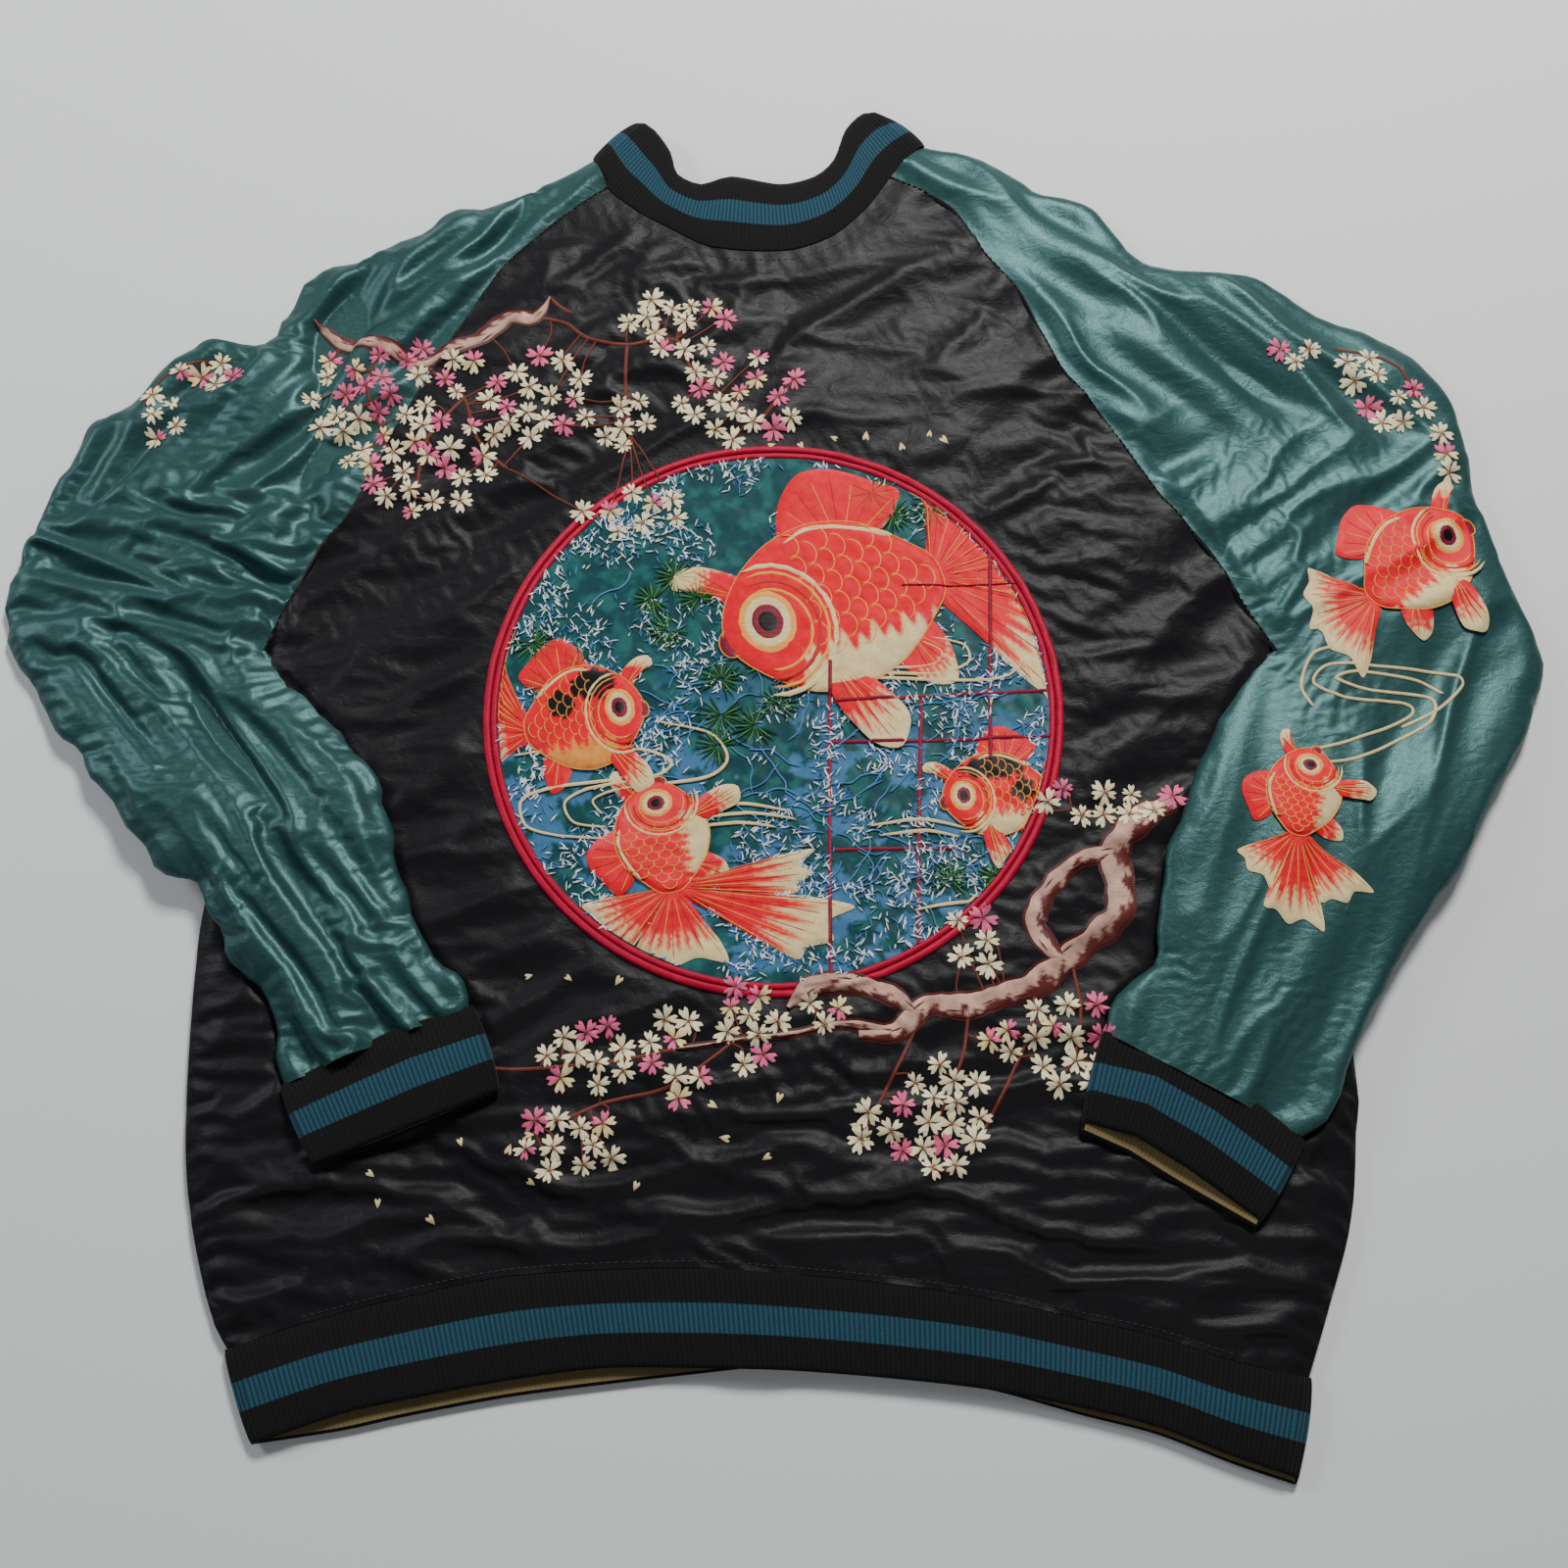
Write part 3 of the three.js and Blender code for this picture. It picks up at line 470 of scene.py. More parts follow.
def back_outline(step):
    return outline_of(step, BACK_NECK, [BACK_NECK[-1]] + RAGLAN_R + [ARMPIT_R],
                      [ARMPIT_R] + SIDE_R + [HEM_SEAM[-1]], HEM_SEAM[::-1],
                      [HEM_SEAM[0]] + SIDE_L[::-1] + [ARMPIT_L],
                      [ARMPIT_L] + RAGLAN_L[::-1] + [BACK_NECK[0]])


def make_back(step=9.2):
    plan, faces = mesh_plan(back_outline(step), step, seed=3)
    right = np.array([ARMPIT_R] + SIDE_R + [HEM_SEAM[-1]], float)
    left = np.array([ARMPIT_L] + SIDE_L + [HEM_SEAM[0]], float)
    hem_line, neck_line = np.array(HEM_SEAM, float), np.array(BACK_NECK, float)
    under = [forearm_plan([ARMPIT_L] + FORE_L_OUT, FORE_L_IN),
             forearm_plan([ARMPIT_R] + FORE_R_OUT, FORE_R_IN)]

    def covered(p):
        return inside(p, under[0]) | inside(p, under[1])

    def shape(p):
        depth = np.minimum(distance_to(p, left), distance_to(p, right))
        hem, neck = distance_to(p, hem_line), distance_to(p, neck_line)
        picture = np.hypot(p[:, 0] - MED[0], p[:, 1] - MED[1]) - MED[2]
        low = 1 - smooth((hem - 30) / 120)
        broad = (long_folds(p, 4, 34, 110, 3) * (1.6 + 2.2 * low)
                 + long_folds(p, 38, 48, 150, 8) * 3.0 * (1 - low))
        broad *= (0.2 + 0.8 * smooth((picture + 4) / 26)) * smooth(hem / 22) * smooth(neck / 30)
        broad *= np.where(covered(p), 0, smooth(depth / 25))
        return 5.0 + 5.0 * flank(depth, 24) + broad

    def folds(p):
        hem, neck = distance_to(p, hem_line), distance_to(p, neck_line)
        picture = np.hypot(p[:, 0] - MED[0], p[:, 1] - MED[1]) - MED[2]
        calm = 0.25 + 0.75 * smooth((picture + 6) / 30)
        calm *= 0.5 + 0.5 * smooth(neck / 50)
        calm = np.where(covered(p), 0.1, calm)
        low = 1 - smooth((hem - 20) / 110)
        way = math.radians(70) + 0.9 * fbm(p, 140, 6, 2) * (1 - low) + math.radians(18) * low
        across = (0.026 + 0.07 * fbm(p, 80, 4, 2) + 0.09 * low) * calm
        along = (0.006 + 0.03 * fbm(p, 60, 8, 2)) * calm
        return way, np.maximum(along, 0), np.maximum(across, 0.01)

    points, plan, faces = settle(plan, faces, shape, folds, 11, rise=7, sink=5, crinkle=0.006,
                                 crush=1.7, bed=(0.003, 0.006), bend=(0.22, 0.12))
    top = np.where(covered(plan), 11.0, 17.5)
    depth = np.minimum(distance_to(plan, left), distance_to(plan, right))
    bottom = np.where(depth > 14, 5.7 + zip_room(plan), 3.8)
    points[:, 2] = np.clip(points[:, 2], bottom, top)
    return new_object("back_cloth", points, faces.tolist())


def ruffle(path, amount, seed):
    """Push the points of a folded edge in and out a little; its ends stay."""
    along = np.gradient(path, axis=0)
    along /= np.linalg.norm(along, axis=1)[:, None] + 1e-9
    fade = smooth(np.minimum(np.arange(len(path)), np.arange(len(path))[::-1]) / 4)
    push = amount * fbm(path, 26, seed, 2) * fade
    return path + np.c_[-along[:, 1], along[:, 0]] * push[:, None]


def make_sleeve(name, sleeve, raglan, armpit, neck_end, outer, inner, folds, broad, seed,
                crinkle, crumple, step=7.6):
    cuff_in, cuff_out = inner[-1], outer[-1]
    edges = [ruffle(curve_through(sleeve + outer, step), crumple, seed),
             ruffle(curve_through(inner[::-1] + [armpit], step), crumple, seed + 1)]
    ends = [curve_through(run, step) for run in (
        [cuff_out, cuff_in], [armpit] + raglan[::-1] + [neck_end], [neck_end, sleeve[0]])]
    outline = closed(edges[0], ends[0], edges[1], ends[1], ends[2])
    plan, faces = mesh_plan(outline, step, seed=seed)
    seam = np.array([armpit] + raglan[::-1] + [neck_end], float)

    def levels(p):
        climb = lift(p[:, 1])
        return SLEEVE_LOW + CLIMB_LOW * climb, SLEEVE_TOP + CLIMB_TOP * climb

    def shape(p):
        bottom, top = levels(p)
        depth = np.minimum(distance_to(p, edges[0]), distance_to(p, edges[1]))
        middle = (bottom + top) / 2
        base = middle + (top - middle + broad(p) * smooth(depth / 22)) * flank(depth, 15)
        sewn = (1 - smooth(distance_to(p, seam) / 14)) * (1 - lift(p[:, 1]))
        return base * (1 - sewn) + 10.2 * sewn

    points, plan, faces = settle(plan, faces, shape, folds, seed, rise=11, sink=5.5,
                                 crinkle=crinkle, bed=(0.012, 0.012), bend=(0.22, 0.12),
                                 crush=3.2)
    points[:, 2] = np.clip(points[:, 2], levels(plan)[0] + SLEEVE_ROOM, FOLD_LIMIT)
    return close_tube(name, points, plan, faces, levels, edges, ends)


def close_tube(name, points, plan, faces, levels, folded, open_ends, reach=0.05):
    """Give a sleeve its under layer, joined to the upper one along the folded edges."""
    n = len(points)
    bottom, top = levels(plan)
    depth = np.minimum(distance_to(plan, folded[0]), distance_to(plan, folded[1]))
    middle = (bottom + top) / 2
    elbow = smooth(np.abs(plan[:, 1] - (ELBOW_Y - 35)) / 25 - 2)
    ruck = 0.9 * np.abs(fbm(plan, 24, 5, 2)) * elbow
    under = np.c_[plan, middle + (bottom + ruck - middle) * flank(depth, 12)]
    rim = open_edge(plan, faces)
    away = np.min([distance_to(plan, line) for line in open_ends], axis=0)
    shared = rim & (away > reach)
    number = np.where(shared, np.arange(n), -1)
    number[~shared] = n + np.arange((~shared).sum())
    faces = np.asarray(faces)
    both = np.r_[faces, number[faces][:, ::-1]]
    return new_object(name, np.r_[points, under[~shared]], both.tolist())


def fold_field(turns, across, along, patch, seed):
    """Fold directions by height up the sleeve, as (y, degrees), with spare cloth to match."""
    ys = [t[0] for t in turns]
    degrees = [t[1] for t in turns]

    def folds(p):
        way = np.radians(np.interp(p[:, 1], ys, degrees)) + 0.5 * fbm(p, 70, seed, 2)
        vary = 1 + patch * fbm(p, 85, seed + 3, 2)
        return way, np.maximum(along * vary, 0), np.maximum(across * vary, 0.01)
    return folds


def sleeve_cloth():
    left = fold_field([(-250, 46), (-60, 44), (60, 70), (160, 110), (260, 138), (400, 125)],
                      0.16, 0.04, 0.9, 21)
    right = fold_field([(-250, -30), (-60, -40), (60, -20), (180, 20), (300, 60), (400, 60)],
                       0.05, 0.015, 0.9, 31)

    def left_broad(p):
        up = smooth((p[:, 1] - 100) / 90)
        down = 1 - smooth((p[:, 1] - 10) / 80)
        mid = 1 - up - down
        fore = long_folds(p, -50, 22, 140, 2) * 8.6
        elbow = long_folds(p, -18, 22, 100, 5) * 9.6
        upper = long_folds(p, 52, 28, 120, 9) * 9.4
        valley = -8.5 * np.exp(-(((p[:, 0] + 296 - 0.05 * (p[:, 1] - 160)) / 13) ** 2)) \
            * smooth((p[:, 1] - 60) / 60) * (1 - smooth((p[:, 1] - 250) / 50))
        return fore * down + elbow * mid + upper * up + valley

    def right_broad(p):
        up = smooth((p[:, 1] - 150) / 90)
        down = 1 - smooth((p[:, 1] - 10) / 110)
        mid = 1 - up - down
        return (long_folds(p, 70, 46, 190, 4) * 3.6 * down
                + long_folds(p, 35, 42, 130, 7) * 4.8 * mid
                + long_folds(p, -42, 42, 140, 6) * 5.8 * up)

    return (make_sleeve("sleeve_left_cloth", SLEEVE_L, RAGLAN_L, ARMPIT_L, BACK_NECK[0],
                        FORE_L_OUT, FORE_L_IN, left, left_broad, 21, 0.010, 5.0),
            make_sleeve("sleeve_right_cloth", SLEEVE_R, RAGLAN_R, ARMPIT_R, BACK_NECK[-1],
                        FORE_R_OUT, FORE_R_IN, right, right_broad, 31, 0.004, 2.5))


# ---------------------------------------------------------------- front, linings, pockets
ZIP_X, ZIP_TOP, ZIP_BOTTOM, ZIP_Z = -8.0, 333.0, -372.0, 5.3
FRONT_NECK_L = [(-104, 352), (-80, 322), (-50, 302), (ZIP_X - 4, 293)]
FRONT_NECK_R = [(ZIP_X + 4, 293), (24, 303), (50, 325), (69, 355)]


def front_outline(side, step):
    corner = (ZIP_X + 4 * side, -325)
    hem = [q for q in HEM_SEAM if (q[0] - ZIP_X) * side > 40]
    if side < 0:
        return outline_of(step, [BACK_NECK[0]] + FRONT_NECK_L, [FRONT_NECK_L[-1], corner],
                          [corner] + hem[::-1], [hem[0]] + SIDE_L[::-1] + [ARMPIT_L],
                          [ARMPIT_L] + RAGLAN_L[::-1] + [BACK_NECK[0]])
    return outline_of(step, FRONT_NECK_R + [BACK_NECK[-1]],
                      [BACK_NECK[-1]] + RAGLAN_R + [ARMPIT_R], [ARMPIT_R] + SIDE_R + [hem[-1]],
                      hem[::-1] + [corner], [corner, FRONT_NECK_R[0]])


def body_side(side):
    return (np.array([ARMPIT_R] + SIDE_R + [HEM_SEAM[-1]], float) if side > 0
            else np.array([ARMPIT_L] + SIDE_L + [HEM_SEAM[0]], float))


def zip_room(p):
    """How far the linings rise over the zip."""
    return 3.5 * (1 - smooth((np.abs(p[:, 0] - ZIP_X) - 7) / 24))


def flat_level(z):
    return lambda p: np.full(len(p), z)


def lining_level(z):
    return lambda p: z + zip_room(p)


def make_front(name, side):
    plan, faces = mesh_plan(front_outline(side, 9.2), 9.2, seed=40 + side)

    def shape(p):
        zip_side = 2.2 * (1 - smooth((np.abs(p[:, 0] - ZIP_X) - 6) / 36))
        depth = distance_to(p, body_side(side))
        return 1.1 + zip_side + 3.9 * (1 - flank(depth, 18))

    def folds(p):
        n = len(p)
        return (np.radians(70 * side) + 0.7 * fbm(p, 120, 3, 2), np.full(n, 0.01),
                np.maximum(0.02 + 0.03 * fbm(p, 80, 9, 2), 0.002))

    points, plan, faces = settle(plan, faces, shape, folds, 50 + side, rise=1.1, sink=0.9,
                                 bend=(0.45, 0.40), crinkle=0.001, crush=0.6)
    points[:, 2] = np.maximum(points[:, 2], 0.25)
    return new_object(name, points, np.asarray(faces)[:, ::-1].tolist())


def plain_sheet(name, outline, level, seed, spacing=11, sway=0.35, flip=False):
    plan, faces = mesh_plan(outline, spacing, seed=seed)
    points = np.c_[plan, level(plan) + sway * fbm(plan, 40, seed, 2)]
    points, faces = refine(points, faces)
    faces = np.asarray(faces)
    return new_object(name, points, (faces[:, ::-1] if flip else faces).tolist())


def shrink(outline, distance):
    """An outline moved inwards."""
    ahead, behind = np.roll(outline, -1, 0), np.roll(outline, 1, 0)
    along = ahead - behind
    normal = np.c_[-along[:, 1], along[:, 0]] / (np.linalg.norm(along, axis=1)[:, None] + 1e-9)
    area = 0.5 * np.sum(outline[:, 0] * ahead[:, 1] - ahead[:, 0] * outline[:, 1])
    return outline + normal * distance * np.sign(area)


def tube_lining(name, sleeve, outer, inner, armpit, raglan, neck_end):
    step = 12
    outline = outline_of(step, sleeve + outer, [outer[-1], inner[-1]], inner[::-1] + [armpit],
                         [armpit] + raglan[::-1] + [neck_end], [neck_end, sleeve[0]])
    plan, faces = mesh_plan(shrink(outline, 7), step, seed=9)
    for _ in range(2):
        plan, faces = refine(plan, faces)

    def levels(p):
        climb = lift(p[:, 1])
        return LINER_LOW + CLIMB_LOW * climb, LINER_TOP + CLIMB_LOW * climb

    folded = [shrink(np.array(sleeve + outer, float), 0), np.array(inner[::-1] + [armpit], float)]
    bottom, top = levels(plan)
    depth = np.minimum(distance_to(plan, folded[0]), distance_to(plan, folded[1])) - 6
    middle = (bottom + top) / 2
    points = np.c_[plan, middle + (top - middle) * flank(depth, 8)]
    return close_tube(name, points, plan, np.asarray(faces), levels, folded,
                      [np.array([outer[-1], inner[-1]], float),
                       np.array([armpit] + raglan[::-1] + [neck_end, sleeve[0]], float)], 9.5)


# ---------------------------------------------------------------- knitted bands
def resample(line, count):
    d = np.r_[0, np.cumsum(np.linalg.norm(np.diff(line, axis=0), axis=1))]
    t = np.linspace(0, d[-1], count)
    return np.stack([np.interp(t, d, line[:, k]) for k in range(line.shape[1])], 1)


def ring(sections, pitch):
    """Join sections of a band, each (top line, bottom line) in 3-D, into one long strip with
    the same number of ribs above and below."""
    tops, bottoms = [], []
    for top, bottom in sections:
        top, bottom = np.asarray(top, float), np.asarray(bottom, float)
        length = np.linalg.norm(np.diff(top, axis=0), axis=1).sum()
        count = max(3, int(round(length / pitch)) * 4 + 1)
        tops.append(resample(top, count)[:-1])
        bottoms.append(resample(bottom, count)[:-1])
    tops.append(np.asarray(sections[-1][0], float)[-1:])
    bottoms.append(np.asarray(sections[-1][1], float)[-1:])
    return np.concatenate(tops), np.concatenate(bottoms)


BAND_ROWS = [0.0, 0.06, 0.14, 0.24, 0.33, 0.345, 0.355, 0.42, 0.5, 0.58, 0.645, 0.655, 0.75,
             0.86, 0.94, 1.0]
RELIEF = 0.8  # height of a rib
RIB_BLACK, RIB_TEAL = (0.004, 0.0035, 0.004), (0.014, 0.062, 0.096)


def grid_object(name, grid, material, colours=None, wrap=False, flip=False):
    nu, nv = grid.shape[:2]
    index = np.arange(nu * nv).reshape(nu, nv)
    last = nu if wrap else nu - 1
    faces = []
    for i in range(last):
        k = (i + 1) % nu
        row = np.c_[index[i, :-1], index[k, :-1], index[k, 1:], index[i, 1:]]
        faces += (row[:, ::-1] if flip else row).tolist()
    obj = new_object(name, grid.reshape(-1, 3), faces, material)
    if colours is not None:
        paint(obj, colours.reshape(-1, 3))
    return obj


def paint(obj, colours):
    layer = obj.data.color_attributes.new("Col", "FLOAT_COLOR", "POINT")
    data = np.ones((len(colours), 4))
    data[:, :3] = colours
    layer.data.foreach_set("color", data.ravel())


def knit_band(name, sections, material, lining, wrap=False, plump=1.6, flip=False):
    """A doubled ribbed band: crowned across its depth, corrugated along its length, and turned
    in at the mouth. The olive inner layer is a second, plainer grid just inside it."""
    top, bottom = ring(sections, 2.9)
    if wrap:
        top, bottom = top[:-1], bottom[:-1]
    v = np.array(BAND_ROWS)
    flat = top[:, None] * (1 - v[None, :, None]) + bottom[:, None] * v[None, :, None]
    du = np.roll(flat, -1, 0) - np.roll(flat, 1, 0)
    if not wrap:
        du[0], du[-1] = flat[1] - flat[0], flat[-1] - flat[-2]
    dv = np.repeat((bottom - top)[:, None], len(v), 1)
    normal = np.cross(dv, du)
    normal /= np.linalg.norm(normal, axis=2)[:, :, None] + 1e-9
    if flip:
        normal = -normal
    rib = np.array([0.0, 0.75, 1.0, 0.75])[np.arange(len(top)) % 4][:, None]
    wave = fbm(flat.reshape(-1, 3)[:, :2], 60, 3, 2).reshape(flat.shape[:2]) * 0.8
    crown = plump * np.sin(np.pi * v) ** 0.7
    out = flat + normal * (crown + RELIEF * rib * (0.35 + 0.65 * np.sin(np.pi * v) ** 0.3)
                           + np.maximum(wave, -crown * 0.5) * np.sin(np.pi * v))[:, :, None]
    out[:, :, 2] = np.maximum(out[:, :, 2], 0.25)
    lip = out[:, -1:] - normal[:, -1:] * 1.5
    back_up = out[:, -3:-2] * 0.4 + flat[:, -1:] * 0.6 - normal[:, -1:] * 1.9
    out = np.concatenate([out, lip, back_up], 1)
    stripe = (v > 0.35) & (v < 0.65)
    tone = np.where(stripe[:, None], RIB_TEAL, RIB_BLACK)
    tone = np.r_[tone, [RIB_BLACK] * 2]
    # painted shade: the vertex colour is darkened in the hollows between ribs and lightened on
    # their crests, following the rib relief
    shade = 0.30 + 0.95 * rib[:, :, None]
    colours = tone[None] * shade
    outer = grid_object(name, out, material, colours, wrap, flip)
    rows = np.array([0.08, 0.5, 0.86, 0.97])
    under = top[:, None] * (1 - rows[None, :, None]) + bottom[:, None] * rows[None, :, None]
    under = under - normal[:, [0] * 4] * 2.2 + normal[:, [0] * 4] * 0.35 * rib[:, :, None]
    if not wrap:
        under = under[16:-16]
    inner = grid_object(name + "_lining", under, lining, None, wrap, not flip)
    return outer, inner


def lifted(line, z):
    return np.c_[np.asarray(line, float), np.full(len(line), z)]


def turn_over(a, b, bulge, way):
    """A half turn from the end of one layer to the start of the next, for a folded side."""
    a, b = np.asarray(a, float), np.asarray(b, float)
    t = np.linspace(0, np.pi, 7)
    middle, half = (a + b) / 2, (a - b) / 2
    return middle + half * np.cos(t)[:, None] + np.array(way) * bulge * np.sin(t)[:, None]


def side_section(a, b, way, bulge):
    return (turn_over(a[0], b[0], bulge, way), turn_over(a[1], b[1], bulge, way))


def hem_sections():
    top, bottom = lifted(curve_through(HEM_SEAM, 8), 9.4), lifted(curve_through(HEM_EDGE, 8), 8.8)
    for line, room in ((top, 1.4), (bottom, 2.0)):  # the inner layer clears the slider
        line[:, 2] += room * (1 - smooth((np.abs(line[:, 0] - ZIP_X) - 8) / 20))
    top[0, 2] = top[-1, 2] = 6.4
    bottom[0, 2] = bottom[-1, 2] = 6.4
    halves = []
    for side in (-1, 1):
        keep = [k for k, q in enumerate(HEM_SEAM) if (q[0] - ZIP_X) * side > 40]
        seam = [HEM_SEAM[k] for k in keep]
        edge = [(x, y - (9 if -265 < x < -85 and side < 0 else 0) - (4 if x > 165 else 0))
                for x, y in (HEM_EDGE[k] for k in keep)]
        stop = ZIP_X + side * 5
        ends = [(stop, -325)], [(stop, -377)]
        if side < 0:
            seam, edge = ends[0] + seam[::-1], ends[1] + edge[::-1]
        else:
            seam, edge = seam[::-1] + ends[0], edge[::-1] + ends[1]
        halves.append((lifted(curve_through(seam, 8), 2.0), lifted(curve_through(edge, 8), 2.2)))
    left, right = halves
    for line in left:
        line[-1, 2] = 3.0
    for line in right:
        line[0, 2] = 3.0
    way = (-1, -0.15, 0)
    return [left, side_section((left[0][-1], left[1][-1]), (top[0], bottom[0]), way, 1.2),
            (top, bottom),
            side_section((top[-1], bottom[-1]), (right[0][0], right[1][0]), (1, -0.2, 0), 1.2),
            right]


COLLAR_EDGE = [(-93, 429), (-81, 420), (-70, 403), (-65, 386), (-49, 378), (-29, 384), (4, 378),
               (27, 384), (40, 397), (48, 420), (60, 433), (74, 434)]


def collar_sections():
    seam = curve_through([(-122, 401)] + BACK_NECK + [(101, 411)], 6)
    edge = curve_through(COLLAR_EDGE, 6)
    top, bottom = lifted(seam, 10.6), lifted(edge, 12.4)
    for line in (top, bottom):
        line[0, 2] = line[-1, 2] = 7.5
    front_l = (lifted(curve_through([(ZIP_X - 4, 293)] + FRONT_NECK_L[-2::-1]
                                    + [BACK_NECK[0], (-122, 401)], 6), 2.6),
               lifted(curve_through([(ZIP_X - 4, 338), (-38, 347), (-56, 362), (-70, 388),
                                     (-93, 429)], 6), 3.2))
    front_r = (lifted(curve_through([(101, 411), BACK_NECK[-1]] + FRONT_NECK_R[::-1], 6), 2.6),
               lifted(curve_through([(74, 434), (54, 400), (44, 372), (22, 350),
                                     (ZIP_X + 4, 338)], 6), 3.2))
    return [front_l,
            side_section((front_l[0][-1], front_l[1][-1]), (top[0], bottom[0]), (-0.7, 0.7, 0),
                         1.0),
            (top, bottom),
            side_section((top[-1], bottom[-1]), (front_r[0][0], front_r[1][0]), (0.7, 0.7, 0),
                         1.0),
            front_r]


def cuff_sections(seam, edge, way_a, way_b, peep):
    """A cuff lying on the body. peep is how far its under layer shows beyond the upper one."""
    upper = (lifted(seam, 21.0), lifted(edge, 20.6))
    low_edge = np.array(edge, float) + np.array(peep) * np.array([[0.6], [1], [1], [0.5]])
    under = (lifted(seam[::-1], 13.6), lifted(low_edge[::-1], 13.6))
    for line in upper:
        line[0, 2] = line[-1, 2] = 18.6
    for line in under:
        line[0, 2] = line[-1, 2] = 16.0
    return [upper, side_section((upper[0][-1], upper[1][-1]), (under[0][0], under[1][0]), way_b, 1),
            under, side_section((under[0][-1], under[1][-1]), (upper[0][0], upper[1][0]), way_a, 1)]


CUFF_L = ([(-282, -222), (-251, -206), (-217, -189), (-176, -176)],
          [(-259, -266), (-225, -253), (-186, -237), (-158, -225)])
CUFF_R = ([(193, -191), (227, -199), (261, -219), (302, -252)],
          [(179, -243), (207, -251), (234, -268), (274, -297)])


# ---------------------------------------------------------------- embroidery
CREAM, GOLD, RED = (0.84, 0.66, 0.33), (0.92, 0.38, 0.06), (0.86, 0.003, 0.020)
PALE_BLOSSOM = (0.90, 0.79, 0.50)
PINK, MAROON, INK = (0.78, 0.13, 0.27), (0.22, 0.01, 0.03), (0.008, 0.006, 0.008)
CRIMSON, POND, SKY = (0.46, 0.003, 0.035), (0.006, 0.058, 0.068), (0.065, 0.20, 0.40)
PINE, BARK, TWIG = (0.020, 0.085, 0.020), (0.66, 0.39, 0.30), (0.16, 0.030, 0.018)
BARK_DARK = (0.12, 0.022, 0.020)
WHITE = (0.86, 0.90, 0.95)


class Ground:
    """What embroidery lies on: the highest surface under a plan point."""

    def __init__(self, *objects):
        self.trees = []
        for obj in objects:
            self.add(obj)

    def add(self, obj):
        deps = bpy.context.evaluated_depsgraph_get()
        self.trees.append(BVHTree.FromObject(obj, deps))

    def heights(self, xy):
        """Height in mm under each point, and NaN where there is nothing."""
        out = np.full(len(xy), np.nan)
        down = Vector((0, 0, -1))
        for i, (x, y) in enumerate(xy):
            start = Vector((x * MM, y * MM, 0.2))
            best = -1.0
            for tree in self.trees:
                hit = tree.ray_cast(start, down)[0]
                if hit is not None and hit.z > best:
                    best = hit.z
            if best > 0:
                out[i] = best / MM
        return out


class Stitches:
    """Collects stitched shapes in plan, each with a height above what it lies on."""

    def __init__(self):
        self.xy, self.rise, self.faces, self.tint, self.thread, self.count = [], [], [], [], [], 0

    def add(self, xy, rise, faces, tint, thread):
        n = len(xy)
        tint = np.broadcast_to(np.asarray(tint, float), (n, 3))
        self.xy.append(np.asarray(xy, float))
        self.rise.append(np.broadcast_to(np.asarray(rise, float), n))
        self.tint.append(tint)
        self.thread.append(np.asarray(thread, float))
        self.faces += (np.asarray(faces) + self.count).tolist()
        self.count += n

    def ribbon(self, line, width, tint, rise, height, taper, columns=3, edge=None):
        """A raised run of satin stitch along a line; its ends narrow to a share of its width."""
        line = np.asarray(line, float)
        n = len(line)
        along = np.gradient(line, axis=0)
        along /= np.linalg.norm(along, axis=1)[:, None] + 1e-9
        normal = np.c_[-along[:, 1], along[:, 0]]
        run = np.r_[0, np.cumsum(np.linalg.norm(np.diff(line, axis=0), axis=1))]
        wide = np.broadcast_to(np.asarray(width, float), n) / 2
        ends = np.minimum(run, run[-1] - run)
        wide = wide * (taper + (1 - taper) * smooth(ends / (2 * wide.max() + 1e-6)))
        t = np.linspace(-1, 1, columns)
        xy = line[:, None] + normal[:, None] * (t[None, :] * wide[:, None])[:, :, None]
        high = rise + height * np.sqrt(np.maximum(0, 1 - t**2))
        index = np.arange(n * columns).reshape(n, columns)
        faces = np.stack([index[:-1, :-1], index[1:, :-1], index[1:, 1:], index[:-1, 1:]], 2)
        colour = np.broadcast_to(np.asarray(tint, float), (n, columns, 3)).copy()
        if edge is not None:
            colour[:, [0, -1]] = edge
        thread = np.stack([np.repeat(run[:, None], columns, 1), t[None, :] * wide[:, None]], 2)
        self.add(xy.reshape(-1, 2), np.tile(high, n), faces.reshape(-1, 4)[:, ::-1],
                 colour.reshape(-1, 3), thread.reshape(-1, 2))

    def patch(self, outline, tint, spacing, rise, height, radius, angle=0.0):
        """A filled shape, padded towards its middle. tint is a colour or colour(points)."""
        outline = np.asarray(outline, float)
        keep = np.linalg.norm(outline - np.roll(outline, 1, 0), axis=1) > 0.15
        outline = outline[keep]
        if len(outline) < 4:
            return
        plan, faces = mesh_plan(outline, spacing, seed=5)
        if not faces:
            return
        depth = distance_to(plan, np.r_[outline, outline[:1]])
        colour = tint(plan) if callable(tint) else tint
        c, k = math.cos(angle), math.sin(angle)
        thread = np.c_[plan[:, 1] * c - plan[:, 0] * k, plan[:, 0] * c + plan[:, 1] * k]
        self.add(plan, rise + height * flank(depth, radius), faces, colour, thread)

    def make(self, name, ground, material):
        xy, rise = np.concatenate(self.xy), np.concatenate(self.rise)
        level = ground.heights(xy)
        points = np.c_[xy, np.where(np.isnan(level), 10.0, level) + rise]
        obj = new_object(name, points, self.faces, material)
        paint(obj, np.concatenate(self.tint))
        layer = obj.data.uv_layers.new(name="thread")
        loops = np.empty(len(obj.data.loops), np.int32)
        obj.data.loops.foreach_get("vertex_index", loops)
        layer.data.foreach_set("uv", (np.concatenate(self.thread)[loops] * 0.1).ravel())
        return obj


def wiggle(line, step=2.5, closed_line=False):
    return curve_through(line, step, closed_line)


